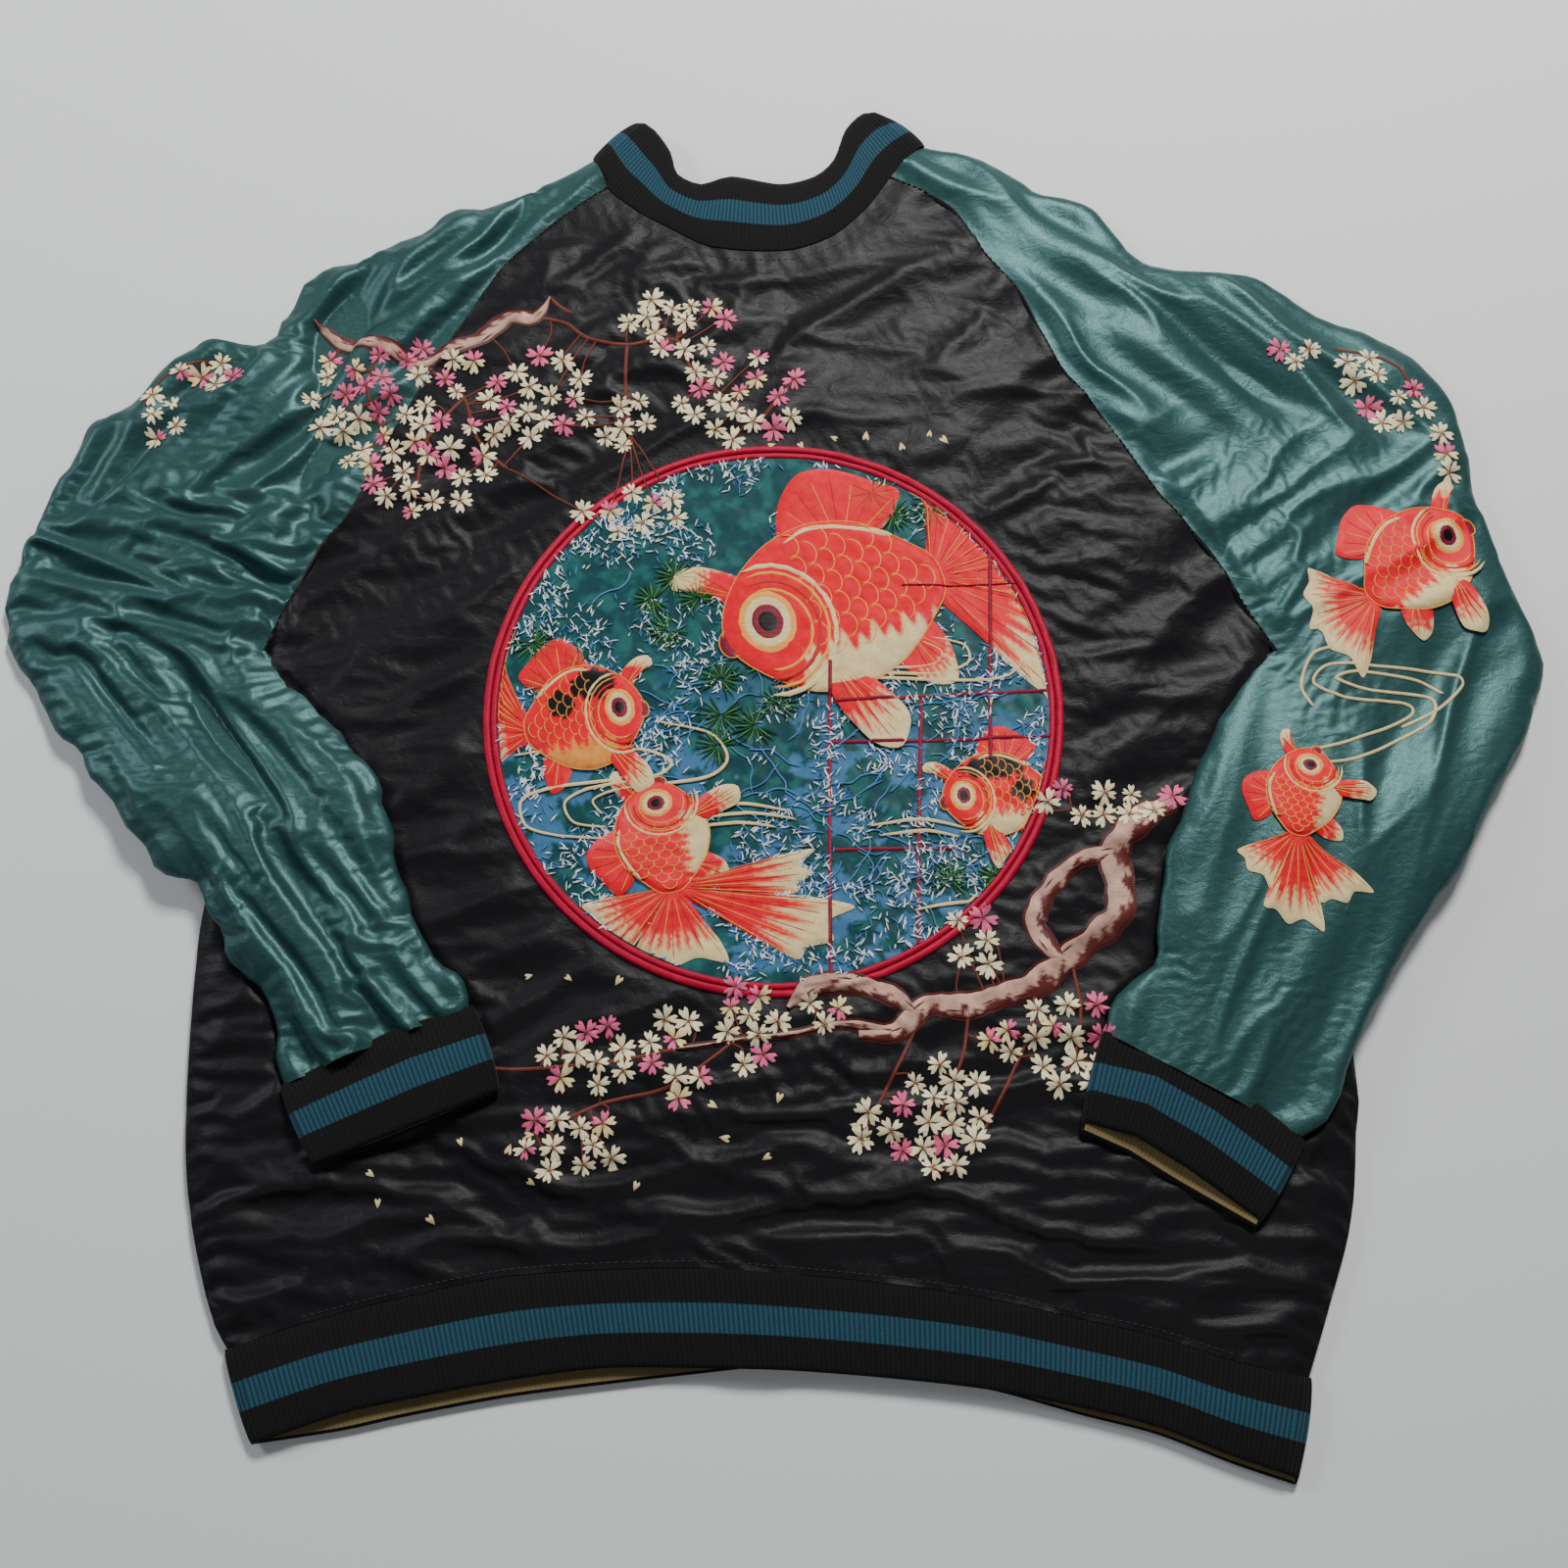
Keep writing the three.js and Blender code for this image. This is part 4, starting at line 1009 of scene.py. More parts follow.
def in_circle(points, radius):
    d = points - np.array(MED[:2])
    r = np.linalg.norm(d, axis=1)
    return np.array(MED[:2]) + d * np.minimum(1, radius / np.maximum(r, 1e-6))[:, None]


def blend_colour(a, b, t):
    return np.asarray(a)[None] * (1 - t[:, None]) + np.asarray(b)[None] * t[:, None]


BODY_SHAPE = [(0.50, 0.0), (0.46, 0.11), (0.36, 0.22), (0.20, 0.31), (0.0, 0.34), (-0.2, 0.29),
              (-0.36, 0.17), (-0.46, 0.07), (-0.46, -0.06), (-0.36, -0.16), (-0.2, -0.27),
              (0.0, -0.32), (0.2, -0.29), (0.36, -0.19), (0.46, -0.09)]
DORSAL_SHAPE = [(0.14, 0.28), (0.10, 0.44), (-0.02, 0.54), (-0.16, 0.53), (-0.30, 0.45),
                (-0.42, 0.36), (-0.30, 0.24), (-0.12, 0.28)]
ANAL_SHAPE = [(-0.16, -0.24), (-0.26, -0.38), (-0.38, -0.40), (-0.40, -0.26), (-0.34, -0.14)]
PECTORAL_SHAPE = [(0.16, -0.18), (0.16, -0.36), (0.10, -0.54), (0.0, -0.60), (-0.09, -0.50),
                  (-0.02, -0.32), (0.06, -0.18)]
FAR_FIN_SHAPE = [(0.34, 0.20), (0.50, 0.30), (0.62, 0.30), (0.64, 0.24), (0.52, 0.20),
                 (0.42, 0.12)]


def goldfish(st, nose, root, up, tail, belly, spots=(), pectoral=0.0, plump=1.15, ring=None):
    """A plain fancy goldfish in satin stitch. It lies from nose to root of tail with its back
    to the side `up` (1 left, -1 right of its heading); tail is a list of lobes, each (degrees
    from straight back, length, width), in body lengths."""
    nose, root = np.array(nose, float), np.array(root, float)
    size = np.linalg.norm(nose - root) / 0.95
    ahead = (nose - root) / np.linalg.norm(nose - root)
    above = np.array([-ahead[1], ahead[0]]) * up
    middle = nose - ahead * 0.5 * size
    heading = math.atan2(ahead[1], ahead[0])

    def place(shape):
        q = np.asarray(shape, float)
        out = middle + size * (q[:, :1] * ahead + q[:, 1:] * plump * above)
        return out if ring is None else in_circle(out, ring)

    def local(p):
        d = (p - middle) / size
        return np.c_[d @ ahead, d @ above / plump]

    def fin(shape, start, tip_colour, level, reach, rays, turn=0.0):
        shape = np.array(shape, float)
        start = np.array(start, float)
        if turn:
            c, k = math.cos(turn), math.sin(turn)
            shape = (shape - start) @ np.array([[c, k], [-k, c]]) + start
        outline = place(wiggle(shape, 0.03, True))

        def colour(p):
            q = local(p)
            far = np.linalg.norm(q - start, axis=1) / reach
            feather = 0.12 * np.sin(np.arctan2(*(q - start).T) * 46)
            return blend_colour(RED, tip_colour, smooth((far - 0.62 + feather) / 0.16))
        st.patch(outline, colour, 2.2, level, 0.8, 4, heading)
        far_points = shape[np.linalg.norm(shape - start, axis=1) > 0.55 * reach]
        for k in range(rays):
            if len(far_points) < 2:
                break
            t = (k + 0.5) / rays * (len(far_points) - 1)
            a, b = far_points[int(t)], far_points[min(int(t) + 1, len(far_points) - 1)]
            tip = a + (b - a) * (t % 1)
            ray = place(np.linspace(start + (tip - start) * 0.15, start + (tip - start) * 0.9, 9))
            st.ribbon(ray, 0.55, GOLD if k % 2 else (0.5, 0.02, 0.02), level + 0.85, 0.25, 0.2)

    for degrees, length, width in tail:
        a = math.radians(180 - degrees)
        back = np.array([math.cos(a), math.sin(a)])
        side = np.array([-back[1], back[0]])
        base = np.array([-0.42, 0.0])
        shape = [base + side * 0.05, base + back * length * 0.35 + side * width * 0.30,
                 base + back * length * 0.75 + side * width * 0.55,
                 base + back * length * 1.02 + side * width * 0.62,
                 base + back * length * 0.92 + side * width * 0.25,
                 base + back * length * 1.0 - side * width * 0.05,
                 base + back * length * 0.88 - side * width * 0.30,
                 base + back * length * 0.86 - side * width * 0.55,
                 base + back * length * 0.55 - side * width * 0.40,
                 base + back * length * 0.25 - side * width * 0.18, base - side * 0.05]
        fin(shape, base, CREAM, 0.5, length, 9)
    fin(DORSAL_SHAPE, (-0.1, 0.2), RED, 0.6, 0.34, 9)
    fin(ANAL_SHAPE, (-0.24, -0.16), CREAM if belly is CREAM else RED, 0.6, 0.28, 4)
    fin(FAR_FIN_SHAPE, (0.38, 0.14), CREAM, 0.6, 0.24, 4)

    def skin(p):
        q = local(p)
        feather = 0.03 * np.sin(q[:, 0] * 95) + 0.02 * np.sin(q[:, 0] * 41)
        low = smooth((-q[:, 1] - 0.13 - 0.10 * (q[:, 0] > 0.2) + feather) / 0.03)
        out = blend_colour(RED, belly, low)
        for x, y, rx, ry in spots:
            edge = ((q[:, 0] - x) / rx) ** 2 + ((q[:, 1] - y) / ry) ** 2
            out[edge + 0.25 * np.sin(q[:, 0] * 60) < 1] = INK
        return out

    outline = wiggle(BODY_SHAPE, 0.03, True)
    st.patch(place(outline), skin, 1.8, 1.1, 1.9, 9, heading + 0.4)
    level = 1.1 + 1.9  # top of the padded body
    pitch = 0.088
    inner = np.array(BODY_SHAPE) * 0.86
    for row in range(9):
        for col in range(9):
            c = np.array([0.12 - row * pitch * 0.72, 0.27 - (col + (row % 2) / 2) * pitch])
            if c[1] < -0.13 or not inside(c[None], inner)[0]:
                continue
            t = np.linspace(-1.75, 1.75, 8)
            arc = c + pitch * 0.56 * np.c_[-np.cos(t), np.sin(t)]
            st.ribbon(place(arc), 0.95 if size > 100 else 0.75, GOLD, level - 0.15, 0.5, 0.4)
    for radius, colour, wide in ((0.265, CREAM, 0.022), (0.235, GOLD, 0.014),
                                 (0.20, (0.55, 0.02, 0.012), 0.020), (0.165, GOLD, 0.014)):
        t = np.linspace(-1.9, 1.75, 16)
        arc = np.array([0.29, -0.02]) + radius * np.c_[-np.cos(t), 0.95 * np.sin(t)]
        st.ribbon(place(arc), max(0.9, wide * size), colour, level - 0.1, 0.6, 0.2)
    crest = np.array([(0.13, 0.29), (0.02, 0.315), (-0.10, 0.295), (-0.22, 0.25), (-0.32, 0.20)])
    st.ribbon(place(wiggle(crest, 0.03)), max(0.9, 0.03 * size), CREAM, level - 0.7, 0.9, 0.3)
    rim = wiggle(BODY_SHAPE, 0.05, True)
    st.ribbon(place(np.r_[rim, rim[:1]]), 0.7, GOLD, 1.2 + 0.3, 0.4, 1.0)
    t = np.linspace(0, 2 * np.pi, 17)[:-1]
    disc = np.c_[np.cos(t), np.sin(t)]
    for radius, colour, add in ((0.125, GOLD, 0.0), (0.100, CREAM, 0.25), (0.070, MAROON, 0.5),
                                (0.042, INK, 0.75)):  # rings of the eye
        st.patch(place(np.array([0.30, 0.015]) + disc * radius), colour, 1.5, level - 0.2 + add,
                 0.4, 2)
    st.patch(place(np.array([0.475, -0.025]) + disc * np.array([0.045, 0.05])), MAROON, 1.5,
             level - 1.4, 0.4, 2)
    st.ribbon(place(np.array([0.475, -0.025]) + np.r_[disc, disc[:1]] * np.array([0.05, 0.055])),
              0.8, GOLD, level - 1.3, 0.5, 1.0)
    fin(PECTORAL_SHAPE, (0.12, -0.16), CREAM, level - 1.0, 0.42, 6, pectoral)


PETAL = [(0.0, 0.0), (0.42, 0.22), (0.78, 0.33), (1.0, 0.20), (0.74, 0.0), (1.0, -0.20),
         (0.78, -0.33), (0.42, -0.22)]


def petal(st, x, y, length, angle, tint, root_tint, rise=0.35):
    q = np.array(PETAL + [(0.5, 0.0)]) * length
    c, k = math.cos(angle), math.sin(angle)
    xy = np.c_[q[:, 0] * c - q[:, 1] * k + x, q[:, 0] * k + q[:, 1] * c + y]
    high = np.array([rise] + [rise] * 7 + [rise + 0.9])
    tints = np.array([root_tint] + [tint] * 7 + [tint])
    faces = [(8, i, (i + 1) % 8) for i in range(8)]
    st.add(xy, high, faces, tints, np.c_[q[:, 1], q[:, 0]])


def blossom(st, rng, x, y):
    size = rng.uniform(6.8, 9.2)
    kind = rng.random()
    turn = rng.uniform(0, 6.28)
    pale = PALE_BLOSSOM if kind < 0.72 else CREAM
    for k in range(5):
        tint = PINK if kind > 0.83 or (kind > 0.66 and k < 2) else pale
        shade = rng.uniform(0.82, 1.15)
        angle = turn + k * 1.2566 + rng.uniform(-0.14, 0.14)
        reach = size * rng.uniform(0.85, 1.1)
        petal(st, x, y, reach, angle, tuple(min(1, c * shade) for c in tint),
              tuple(c * 0.5 for c in tint), 0.35 + 0.12 * k)
    for k in range(4):
        a = turn + k * 1.57
        st.ribbon([(x, y), (x + 1.3 * math.cos(a), y + 1.3 * math.sin(a)),
                   (x + 2.6 * math.cos(a), y + 2.6 * math.sin(a))], 0.6,
                  (0.35, 0.10, 0.06), 1.3, 0.3, 0.8)


def scatter(rng, x, y, rx, ry, count, gap, taken):
    """Places for blossoms in an oval, none nearer than gap to another."""
    for _ in range(count * 30):
        if count <= 0:
            return
        a, r = rng.uniform(0, 6.283), math.sqrt(rng.random())
        q = (x + rx * r * math.cos(a), y + ry * r * math.sin(a))
        if all((q[0] - t[0]) ** 2 + (q[1] - t[1]) ** 2 > gap * gap for t in taken):
            taken.append(q)
            count -= 1


def branch(st, line, widths, seed, taper=0.35):
    """A thick embroidered branch: tan satin stitch, with maroon shading down one side."""
    path = wiggle(line, 2.2)
    wide = np.interp(np.linspace(0, 1, len(path)), np.linspace(0, 1, len(widths)), widths)
    wide = wide * (1 + 0.30 * fbm(path, 12, seed, 2))
    st.ribbon(path, wide + 2.6, (0.075, 0.012, 0.012), 0.25, 0.7, taper, 5)
    columns = 11
    across = np.linspace(0, 1, columns)[None, :]
    spread = np.repeat(path[:, None], columns, 1) + (across * 9)[:, :, None]
    ragged = fbm(spread.reshape(-1, 2), 5, seed + 2, 3).reshape(spread.shape[:2])
    dark = smooth((across + 0.55 * ragged - 0.62) / 0.12)[:, :, None]
    tone = 0.85 + 0.35 * fbm(path, 7, seed + 2, 2)
    tint = np.asarray(BARK) * tone[:, None, None] * (1 - dark) + np.array(BARK_DARK) * dark
    st.ribbon(path, wide * 0.92, tint, 0.75, 1.2, taper, columns)
    rng = random.Random(seed)
    for k in range(3, len(path) - 3, 9):
        d = path[k + 1] - path[k - 1]
        shift = np.array([-d[1], d[0]]) / (np.linalg.norm(d) + 1e-6) * rng.uniform(-0.3, 0.3)
        a = path[k - 2] + shift * wide[k]
        b = path[k + 2] + shift * wide[k]
        st.ribbon([a, (a + b) / 2, b], 1.3, (0.11, 0.035, 0.028), 1.85, 0.35, 0.2)


def twig(st, line, width):
    st.ribbon(wiggle(line, 2.5), width, TWIG, 0.25, 0.6, 0.3)


def sprigs(st, rng, places, anchors):
    """Thin twigs from each blossom to the nearest wood."""
    wood = np.concatenate([wiggle(a, 6) for a in anchors])
    for x, y in places:
        d = np.hypot(wood[:, 0] - x, wood[:, 1] - y)
        near = wood[int(np.argmin(d))]
        if 4 < d.min() < 60:
            mid = (np.array([x, y]) + near) / 2 + rng.uniform(-4, 4)
            twig(st, [near, mid, (x, y)], 1.2)


RUN_LENGTH, RUN_GAP, RUN_WIDTH = 2.6, 1.6, 0.7  # of a seam's running stitch, in mm


def running_stitch(st, line, tint, rise=0.15):
    path = wiggle(line, 0.6)
    run = np.r_[0, np.cumsum(np.linalg.norm(np.diff(path, axis=0), axis=1))]
    at = 0.0
    while at + RUN_LENGTH < run[-1]:
        t = np.linspace(at, at + RUN_LENGTH, 3)
        st.ribbon(np.c_[np.interp(t, run, path[:, 0]), np.interp(t, run, path[:, 1])], RUN_WIDTH,
                  tint, rise, 0.35, 0.6)
        at += RUN_LENGTH + RUN_GAP


def thread_material(name):
    """Embroidery: vertex colour, crossed by fine lines where each thread lies."""
    n = Nodes(name)
    colour = n.add("Attribute", attribute_name="Col").outputs["Color"]
    uv = n.add("UVMap", uv_map="thread").outputs[0]
    across = n.add("SeparateXYZ", {"Vector": uv}).outputs["X"]
    fray = n.math("MULTIPLY_ADD", n.noise(420, 2), 2.2, n.math("MULTIPLY", across, 78.0))
    line = n.math("MULTIPLY_ADD", n.math("SINE", fray), 0.5, 0.5)
    tone = n.math("MULTIPLY_ADD", line, 0.42, n.math("MULTIPLY_ADD", n.noise(260, 3), 0.5, 0.48))
    grey = n.add("CombineColor", {"Red": tone, "Green": tone, "Blue": tone}).outputs[0]
    base = n.mix(1.0, colour, grey, "MULTIPLY")
    return n.set(Base_Color=base, Roughness=0.42, Normal=n.bump(line, 0.45, 0.0003),
                 Sheen_Weight=0.02, Sheen_Roughness=0.4, Specular_IOR_Level=0.22)


def knit_material(name):
    n = Nodes(name)
    colour = n.add("Attribute", attribute_name="Col").outputs["Color"]
    fuzz = n.noise(900, 3)
    loops = n.add("TexVoronoi", {"Vector": n.coord, "Scale": 1100.0}).outputs["Distance"]
    tone = n.math("MULTIPLY_ADD", fuzz, 0.7, 0.62)
    grey = n.add("CombineColor", {"Red": tone, "Green": tone, "Blue": tone}).outputs[0]
    return n.set(Base_Color=n.mix(1.0, colour, grey, "MULTIPLY"), Roughness=0.9,
                 Normal=n.bump(loops, 0.5, 0.0004), Sheen_Weight=0.06, Sheen_Roughness=0.5,
                 Specular_IOR_Level=0.25)


def woven(name, deep, pale, rough, scale):
    n = Nodes(name)
    weave = n.add("TexWave", {"Vector": n.coord, "Scale": scale, "Distortion": 0.6},
                  bands_direction="DIAGONAL").outputs["Fac"]
    colour = n.mix(n.math("MULTIPLY_ADD", n.noise(60, 3), 0.6, n.math("MULTIPLY", weave, 0.4)),
                   deep + (1,), pale + (1,))
    return n.set(Base_Color=colour, Roughness=rough, Normal=n.bump(weave, 0.3, 0.0002),
                 Sheen_Weight=0.1)


def brass(name):
    n = Nodes(name)
    wear = n.noise(240, 4)
    colour = n.mix(wear, (0.30, 0.20, 0.08, 1), (0.72, 0.53, 0.26, 1))
    rough = n.math("MULTIPLY_ADD", n.noise(90, 3), 0.25, 0.22)
    return n.set(Base_Color=colour, Roughness=rough, Metallic=1.0,
                 Normal=n.bump(wear, 0.12, 0.0002))


# ---------------------------------------------------------------- the picture on the back
def pond(st):
    """The stitched ground: dark water, blue patches, and a crimson rim of two rows."""
    ring = np.linspace(0, 2 * np.pi, 150)[:-1]
    disc = np.c_[np.cos(ring), np.sin(ring)] * 171 + np.array(MED[:2])

    def water(p):
        blue = smooth((fbm(p, 17, 12, 5) - 0.05) / 0.08) * smooth((60 - p[:, 1]) / 90)
        deep = smooth((fbm(p, 11, 3, 3) + 0.1) / 0.5)
        base = blend_colour(POND, (0.016, 0.12, 0.115), deep)
        return base * (1 - 0.8 * blue[:, None]) + 0.8 * blue[:, None] * np.array(SKY)
    st.patch(disc, water, 2.2, 0.35, 0.3, 4, 0.5)
    for radius, width, high in ((175.8, 5.0, 1.7), (171.3, 4.2, 1.4)):
        turn = np.linspace(0, 2 * np.pi, 361)
        line = np.c_[np.cos(turn), np.sin(turn)] * radius + np.array(MED[:2])
        st.ribbon(line, width, CRIMSON, 0.45, high, 1.0, 7, edge=(0.20, 0.004, 0.02))


def flecks(st, rng):
    """White and blue dashes, in drifts."""
    for _ in range(12500):
        a, r = rng.uniform(0, 6.283), 169 * math.sqrt(rng.random())
        x, y = MED[0] + r * math.cos(a), MED[1] + r * math.sin(a)
        drift = noise.noise(Vector((x / 26, y / 26, 4.2)))
        corner = 0.24 * max(0.0, (x - y) / 170) + 0.22 * max(0.0, (y - x - 90) / 130)
        if drift + corner < rng.uniform(-0.15, 0.48):
            continue
        way = rng.choice((0.5, 2.3, 1.4)) + 1.4 * noise.noise(Vector((x / 50, y / 50, 9)))
        way += rng.uniform(-0.5, 0.5)
        half = rng.uniform(1.2, 3.2)
        dx, dy = half * math.cos(way), half * math.sin(way)
        tint = WHITE if rng.random() < 0.62 else SKY
        st.ribbon([(x - dx, y - dy), (x, y), (x + dx, y + dy)], rng.uniform(0.7, 1.25), tint,
                  0.8, 0.4, 0.3)
    for _ in range(150):
        a, r = rng.uniform(0, 6.283), 150 * math.sqrt(rng.random())
        x, y = MED[0] + r * math.cos(a), MED[1] + r * math.sin(a)
        if y > 40 and rng.random() < 0.8:
            continue
        line, way = [(x, y)], rng.uniform(-0.7, 0.7)
        for _ in range(5):
            way += rng.uniform(-0.7, 0.7)
            line.append((line[-1][0] + 7 * math.cos(way), line[-1][1] + 7 * math.sin(way)))
        st.ribbon(in_circle(wiggle(line), 169), 0.9, tuple(c * rng.uniform(0.8, 1.3) for c in SKY),
                  0.75, 0.3, 0.3)


# ovals in which tufts, blossoms and petals are strewn: (x, y, half width, half height, count)
PINE_GROUPS = [(-60, 75, 20, 20, 4), (-12, 8, 32, 32, 6), (-138, 38, 24, 16, 3),
               (80, 145, 30, 14, 3), (115, -95, 20, 12, 3)]


def pines(st, rng):
    places = []
    for group in PINE_GROUPS:
        scatter(rng, *group, 19, places)
    for x, y in places:
        start = rng.uniform(0, 6.283)
        reach = rng.uniform(12, 15)
        for k in range(17):
            a = start + k * 0.31
            tip = np.array([x + reach * math.cos(a), y + reach * math.sin(a)])
            root = np.array([x + 1.2 * math.cos(a), y + 1.2 * math.sin(a)])
            line = in_circle(np.linspace(root, tip, 4), 169)
            if np.linalg.norm(line[-1] - line[0]) > 3:
                shade = 2.6 if k % 2 else 0.8
                st.ribbon(line, 1.15, tuple(c * shade for c in PINE), 1.0, 0.6, 0.25)


WATER_LINES = [
    [(-158, -22), (-128, -18), (-90, -25), (-84, -31), (-96, -37), (-132, -42), (-152, -50),
     (-149, -66), (-130, -72), (-100, -74)],
    [(-118, -20), (-80, -18), (-62, -26), (-72, -35), (-112, -43), (-126, -52), (-120, -64),
     (-100, -67)],
    [(-70, 0), (-38, -8), (-28, -24), (-42, -36), (-92, -43), (-109, -50), (-103, -59)],
    [(-52, -58), (-20, -52), (10, -57)], [(-52, -62), (-15, -58), (14, -62)],
    [(-52, -67), (-20, -64), (2, -67)],
    [(-2, 36), (24, 38), (78, 35), (100, 38), (104, 46), (92, 52)],
    [(-8, 32), (30, 33), (96, 31), (120, 38), (118, 50), (98, 55)],
    [(2, 28), (40, 29), (130, 27), (152, 36), (150, 50)],
    [(58, -66), (90, -62), (118, -68)], [(64, -72), (92, -69), (112, -73)],
    [(84, -118), (104, -114), (128, -112)],
]
LATTICE = [([(35, 39), (34, -60), (34, -161)], 2.3), ([(91, 15), (88, -60), (86, -138)], 2.3),
           ([(136, 110), (134, 40), (132, -24)], 2.3), ([(35, 13), (100, 17), (168, 20)], 2.0),
           ([(35, -13), (100, -12), (169, -9)], 2.0), ([(36, -81), (80, -80), (109, -80)], 2.0),
           ([(80, 89), (120, 89), (152, 91)], 0.9)]

UPPER_BOUGH = [(-301, 277), (-283, 262), (-256, 255), (-229, 245), (-211, 255), (-192, 262),
               (-173, 277), (-156, 277), (-147, 292)]
LOWER_BOUGH = [(242, -52), (226, -58), (212, -70), (204, -84), (207, -101), (205, -120),
               (190, -134), (176, -145), (154, -162), (136, -168), (115, -175), (90, -175),
               (72, -190), (50, -192)]
LOWER_LOOPS = [[(206, -82), (182, -88), (162, -108), (155, -126), (164, -141), (174, -148)],
               [(84, -180), (68, -168), (47, -162), (24, -163), (9, -176)]]
LOWER_ARM = [(72, -190), (40, -186), (12, -191), (-22, -195), (-56, -200)]
UPPER_TWIGS = [[(-156, 277), (-135, 273), (-121, 262), (-96, 259), (-64, 262), (-54, 241),
                (-35, 223), (-19, 209), (0, 195)],
               [(-229, 245), (-216, 234), (-200, 219), (-190, 190), (-170, 170)],
               [(-256, 255), (-262, 225), (-252, 195), (-238, 165)],
               [(-200, 219), (-222, 190), (-228, 150)], [(-96, 259), (-96, 225), (-93, 196)],
               [(-147, 292), (-140, 285), (-132, 280)]]
LOWER_TWIGS = [[(-56, -200), (-96, -208), (-141, -212), (-166, -211)],
               [(-22, -195), (-60, -222), (-100, -232), (-140, -250)],
               [(115, -175), (110, -205), (96, -240), (92, -272)],
               [(176, -145), (180, -175), (176, -205)], [(90, -175), (70, -215), (55, -244)],
               [(212, -70), (196, -58), (180, -56)], [(154, -162), (148, -195), (120, -250)]]
UPPER_CLUSTERS = [(-225, 200, 60, 60, 44), (-150, 220, 35, 30, 14), (-65, 270, 35, 25, 12),
                  (-95, 205, 20, 20, 7), (-20, 220, 45, 30, 18), (-290, 220, 10, 30, 5),
                  (-90, 140, 35, 15, 8)]
LOWER_CLUSTERS = [(-100, -205, 32, 20, 13), (-120, -255, 35, 16, 10), (-60, -185, 15, 10, 4),
                  (-15, -185, 20, 25, 11), (-50, -220, 10, 10, 3), (30, -180, 12, 10, 3),
                  (120, -135, 15, 20, 6), (175, -195, 25, 30, 17), (140, -195, 15, 10, 4),
                  (95, -240, 30, 32, 19), (55, -240, 10, 14, 4), (205, -50, 40, 12, 9)]
SLEEVE_CLUSTERS = [(-368, 236, 25, 10, 5), (-394, 208, 14, 20, 7), (335, 252, 14, 10, 4),
                   (380, 240, 15, 10, 4), (398, 215, 22, 14, 8), (430, 178, 8, 16, 4)]
PETAL_DRIFTS = [(60, 190, 60, 12, 7), (-150, -275, 90, 30, 9), (0, -255, 60, 30, 6),
                (-115, -160, 30, 12, 3)]
SLEEVE_WATER = [[(318, -22), (345, -16), (374, -5), (392, 5), (388, 12), (352, 14), (332, 24),
                 (342, 36), (372, 36), (412, 32), (424, 24), (408, 8), (384, -4)],
                [(320, -30), (352, -26), (378, -14), (402, 0), (404, 16), (366, 20), (346, 27),
                 (362, 32), (398, 27), (412, 18)],
                [(330, 8), (324, 22), (334, 44), (360, 50)]]


POND_EDGE, WATER_EDGE = 168.5, 168  # radii in mm that fins and water lines stop at
BLOSSOM_RIM, BLOSSOM_GAP, PETAL_GAP = 8, 11.8, 14
ORANGE, LATTICE_RED = (0.83, 0.30, 0.06), (0.24, 0.006, 0.03)
# each: nose, root of tail, side of the back, lobes of the tail, belly, spots, turn of the near
# fin, plumpness
POND_FISH = [
    ((-31, 53), (103, 96), -1, [(38, 0.50, 0.52), (4, 0.52, 0.5), (-30, 0.60, 0.56)], CREAM, (),
     -0.15, 1.16),
    ((-79, 11), (-150, -8), 1, [(10, 0.36, 0.34), (42, 0.95, 0.40), (66, 1.05, 0.34)], ORANGE,
     ((0.14, 0.20, 0.17, 0.10), (-0.14, 0.12, 0.10, 0.09)), 0.95, 1.32),
    ((-72, -38), (-60, -106), 1,
     [(64, 0.66, 0.46), (4, 0.66, 0.55), (-58, 1.22, 0.46), (-86, 0.98, 0.30)], CREAM, (),
     0.75, 1.2),
    ((102, -50), (165, -44), -1, [(18, 0.30, 0.3), (-20, 0.30, 0.3)], CREAM,
     ((-0.02, 0.22, 0.30, 0.10), (-0.24, 0.02, 0.10, 0.10)), 0.0, 1.2)]


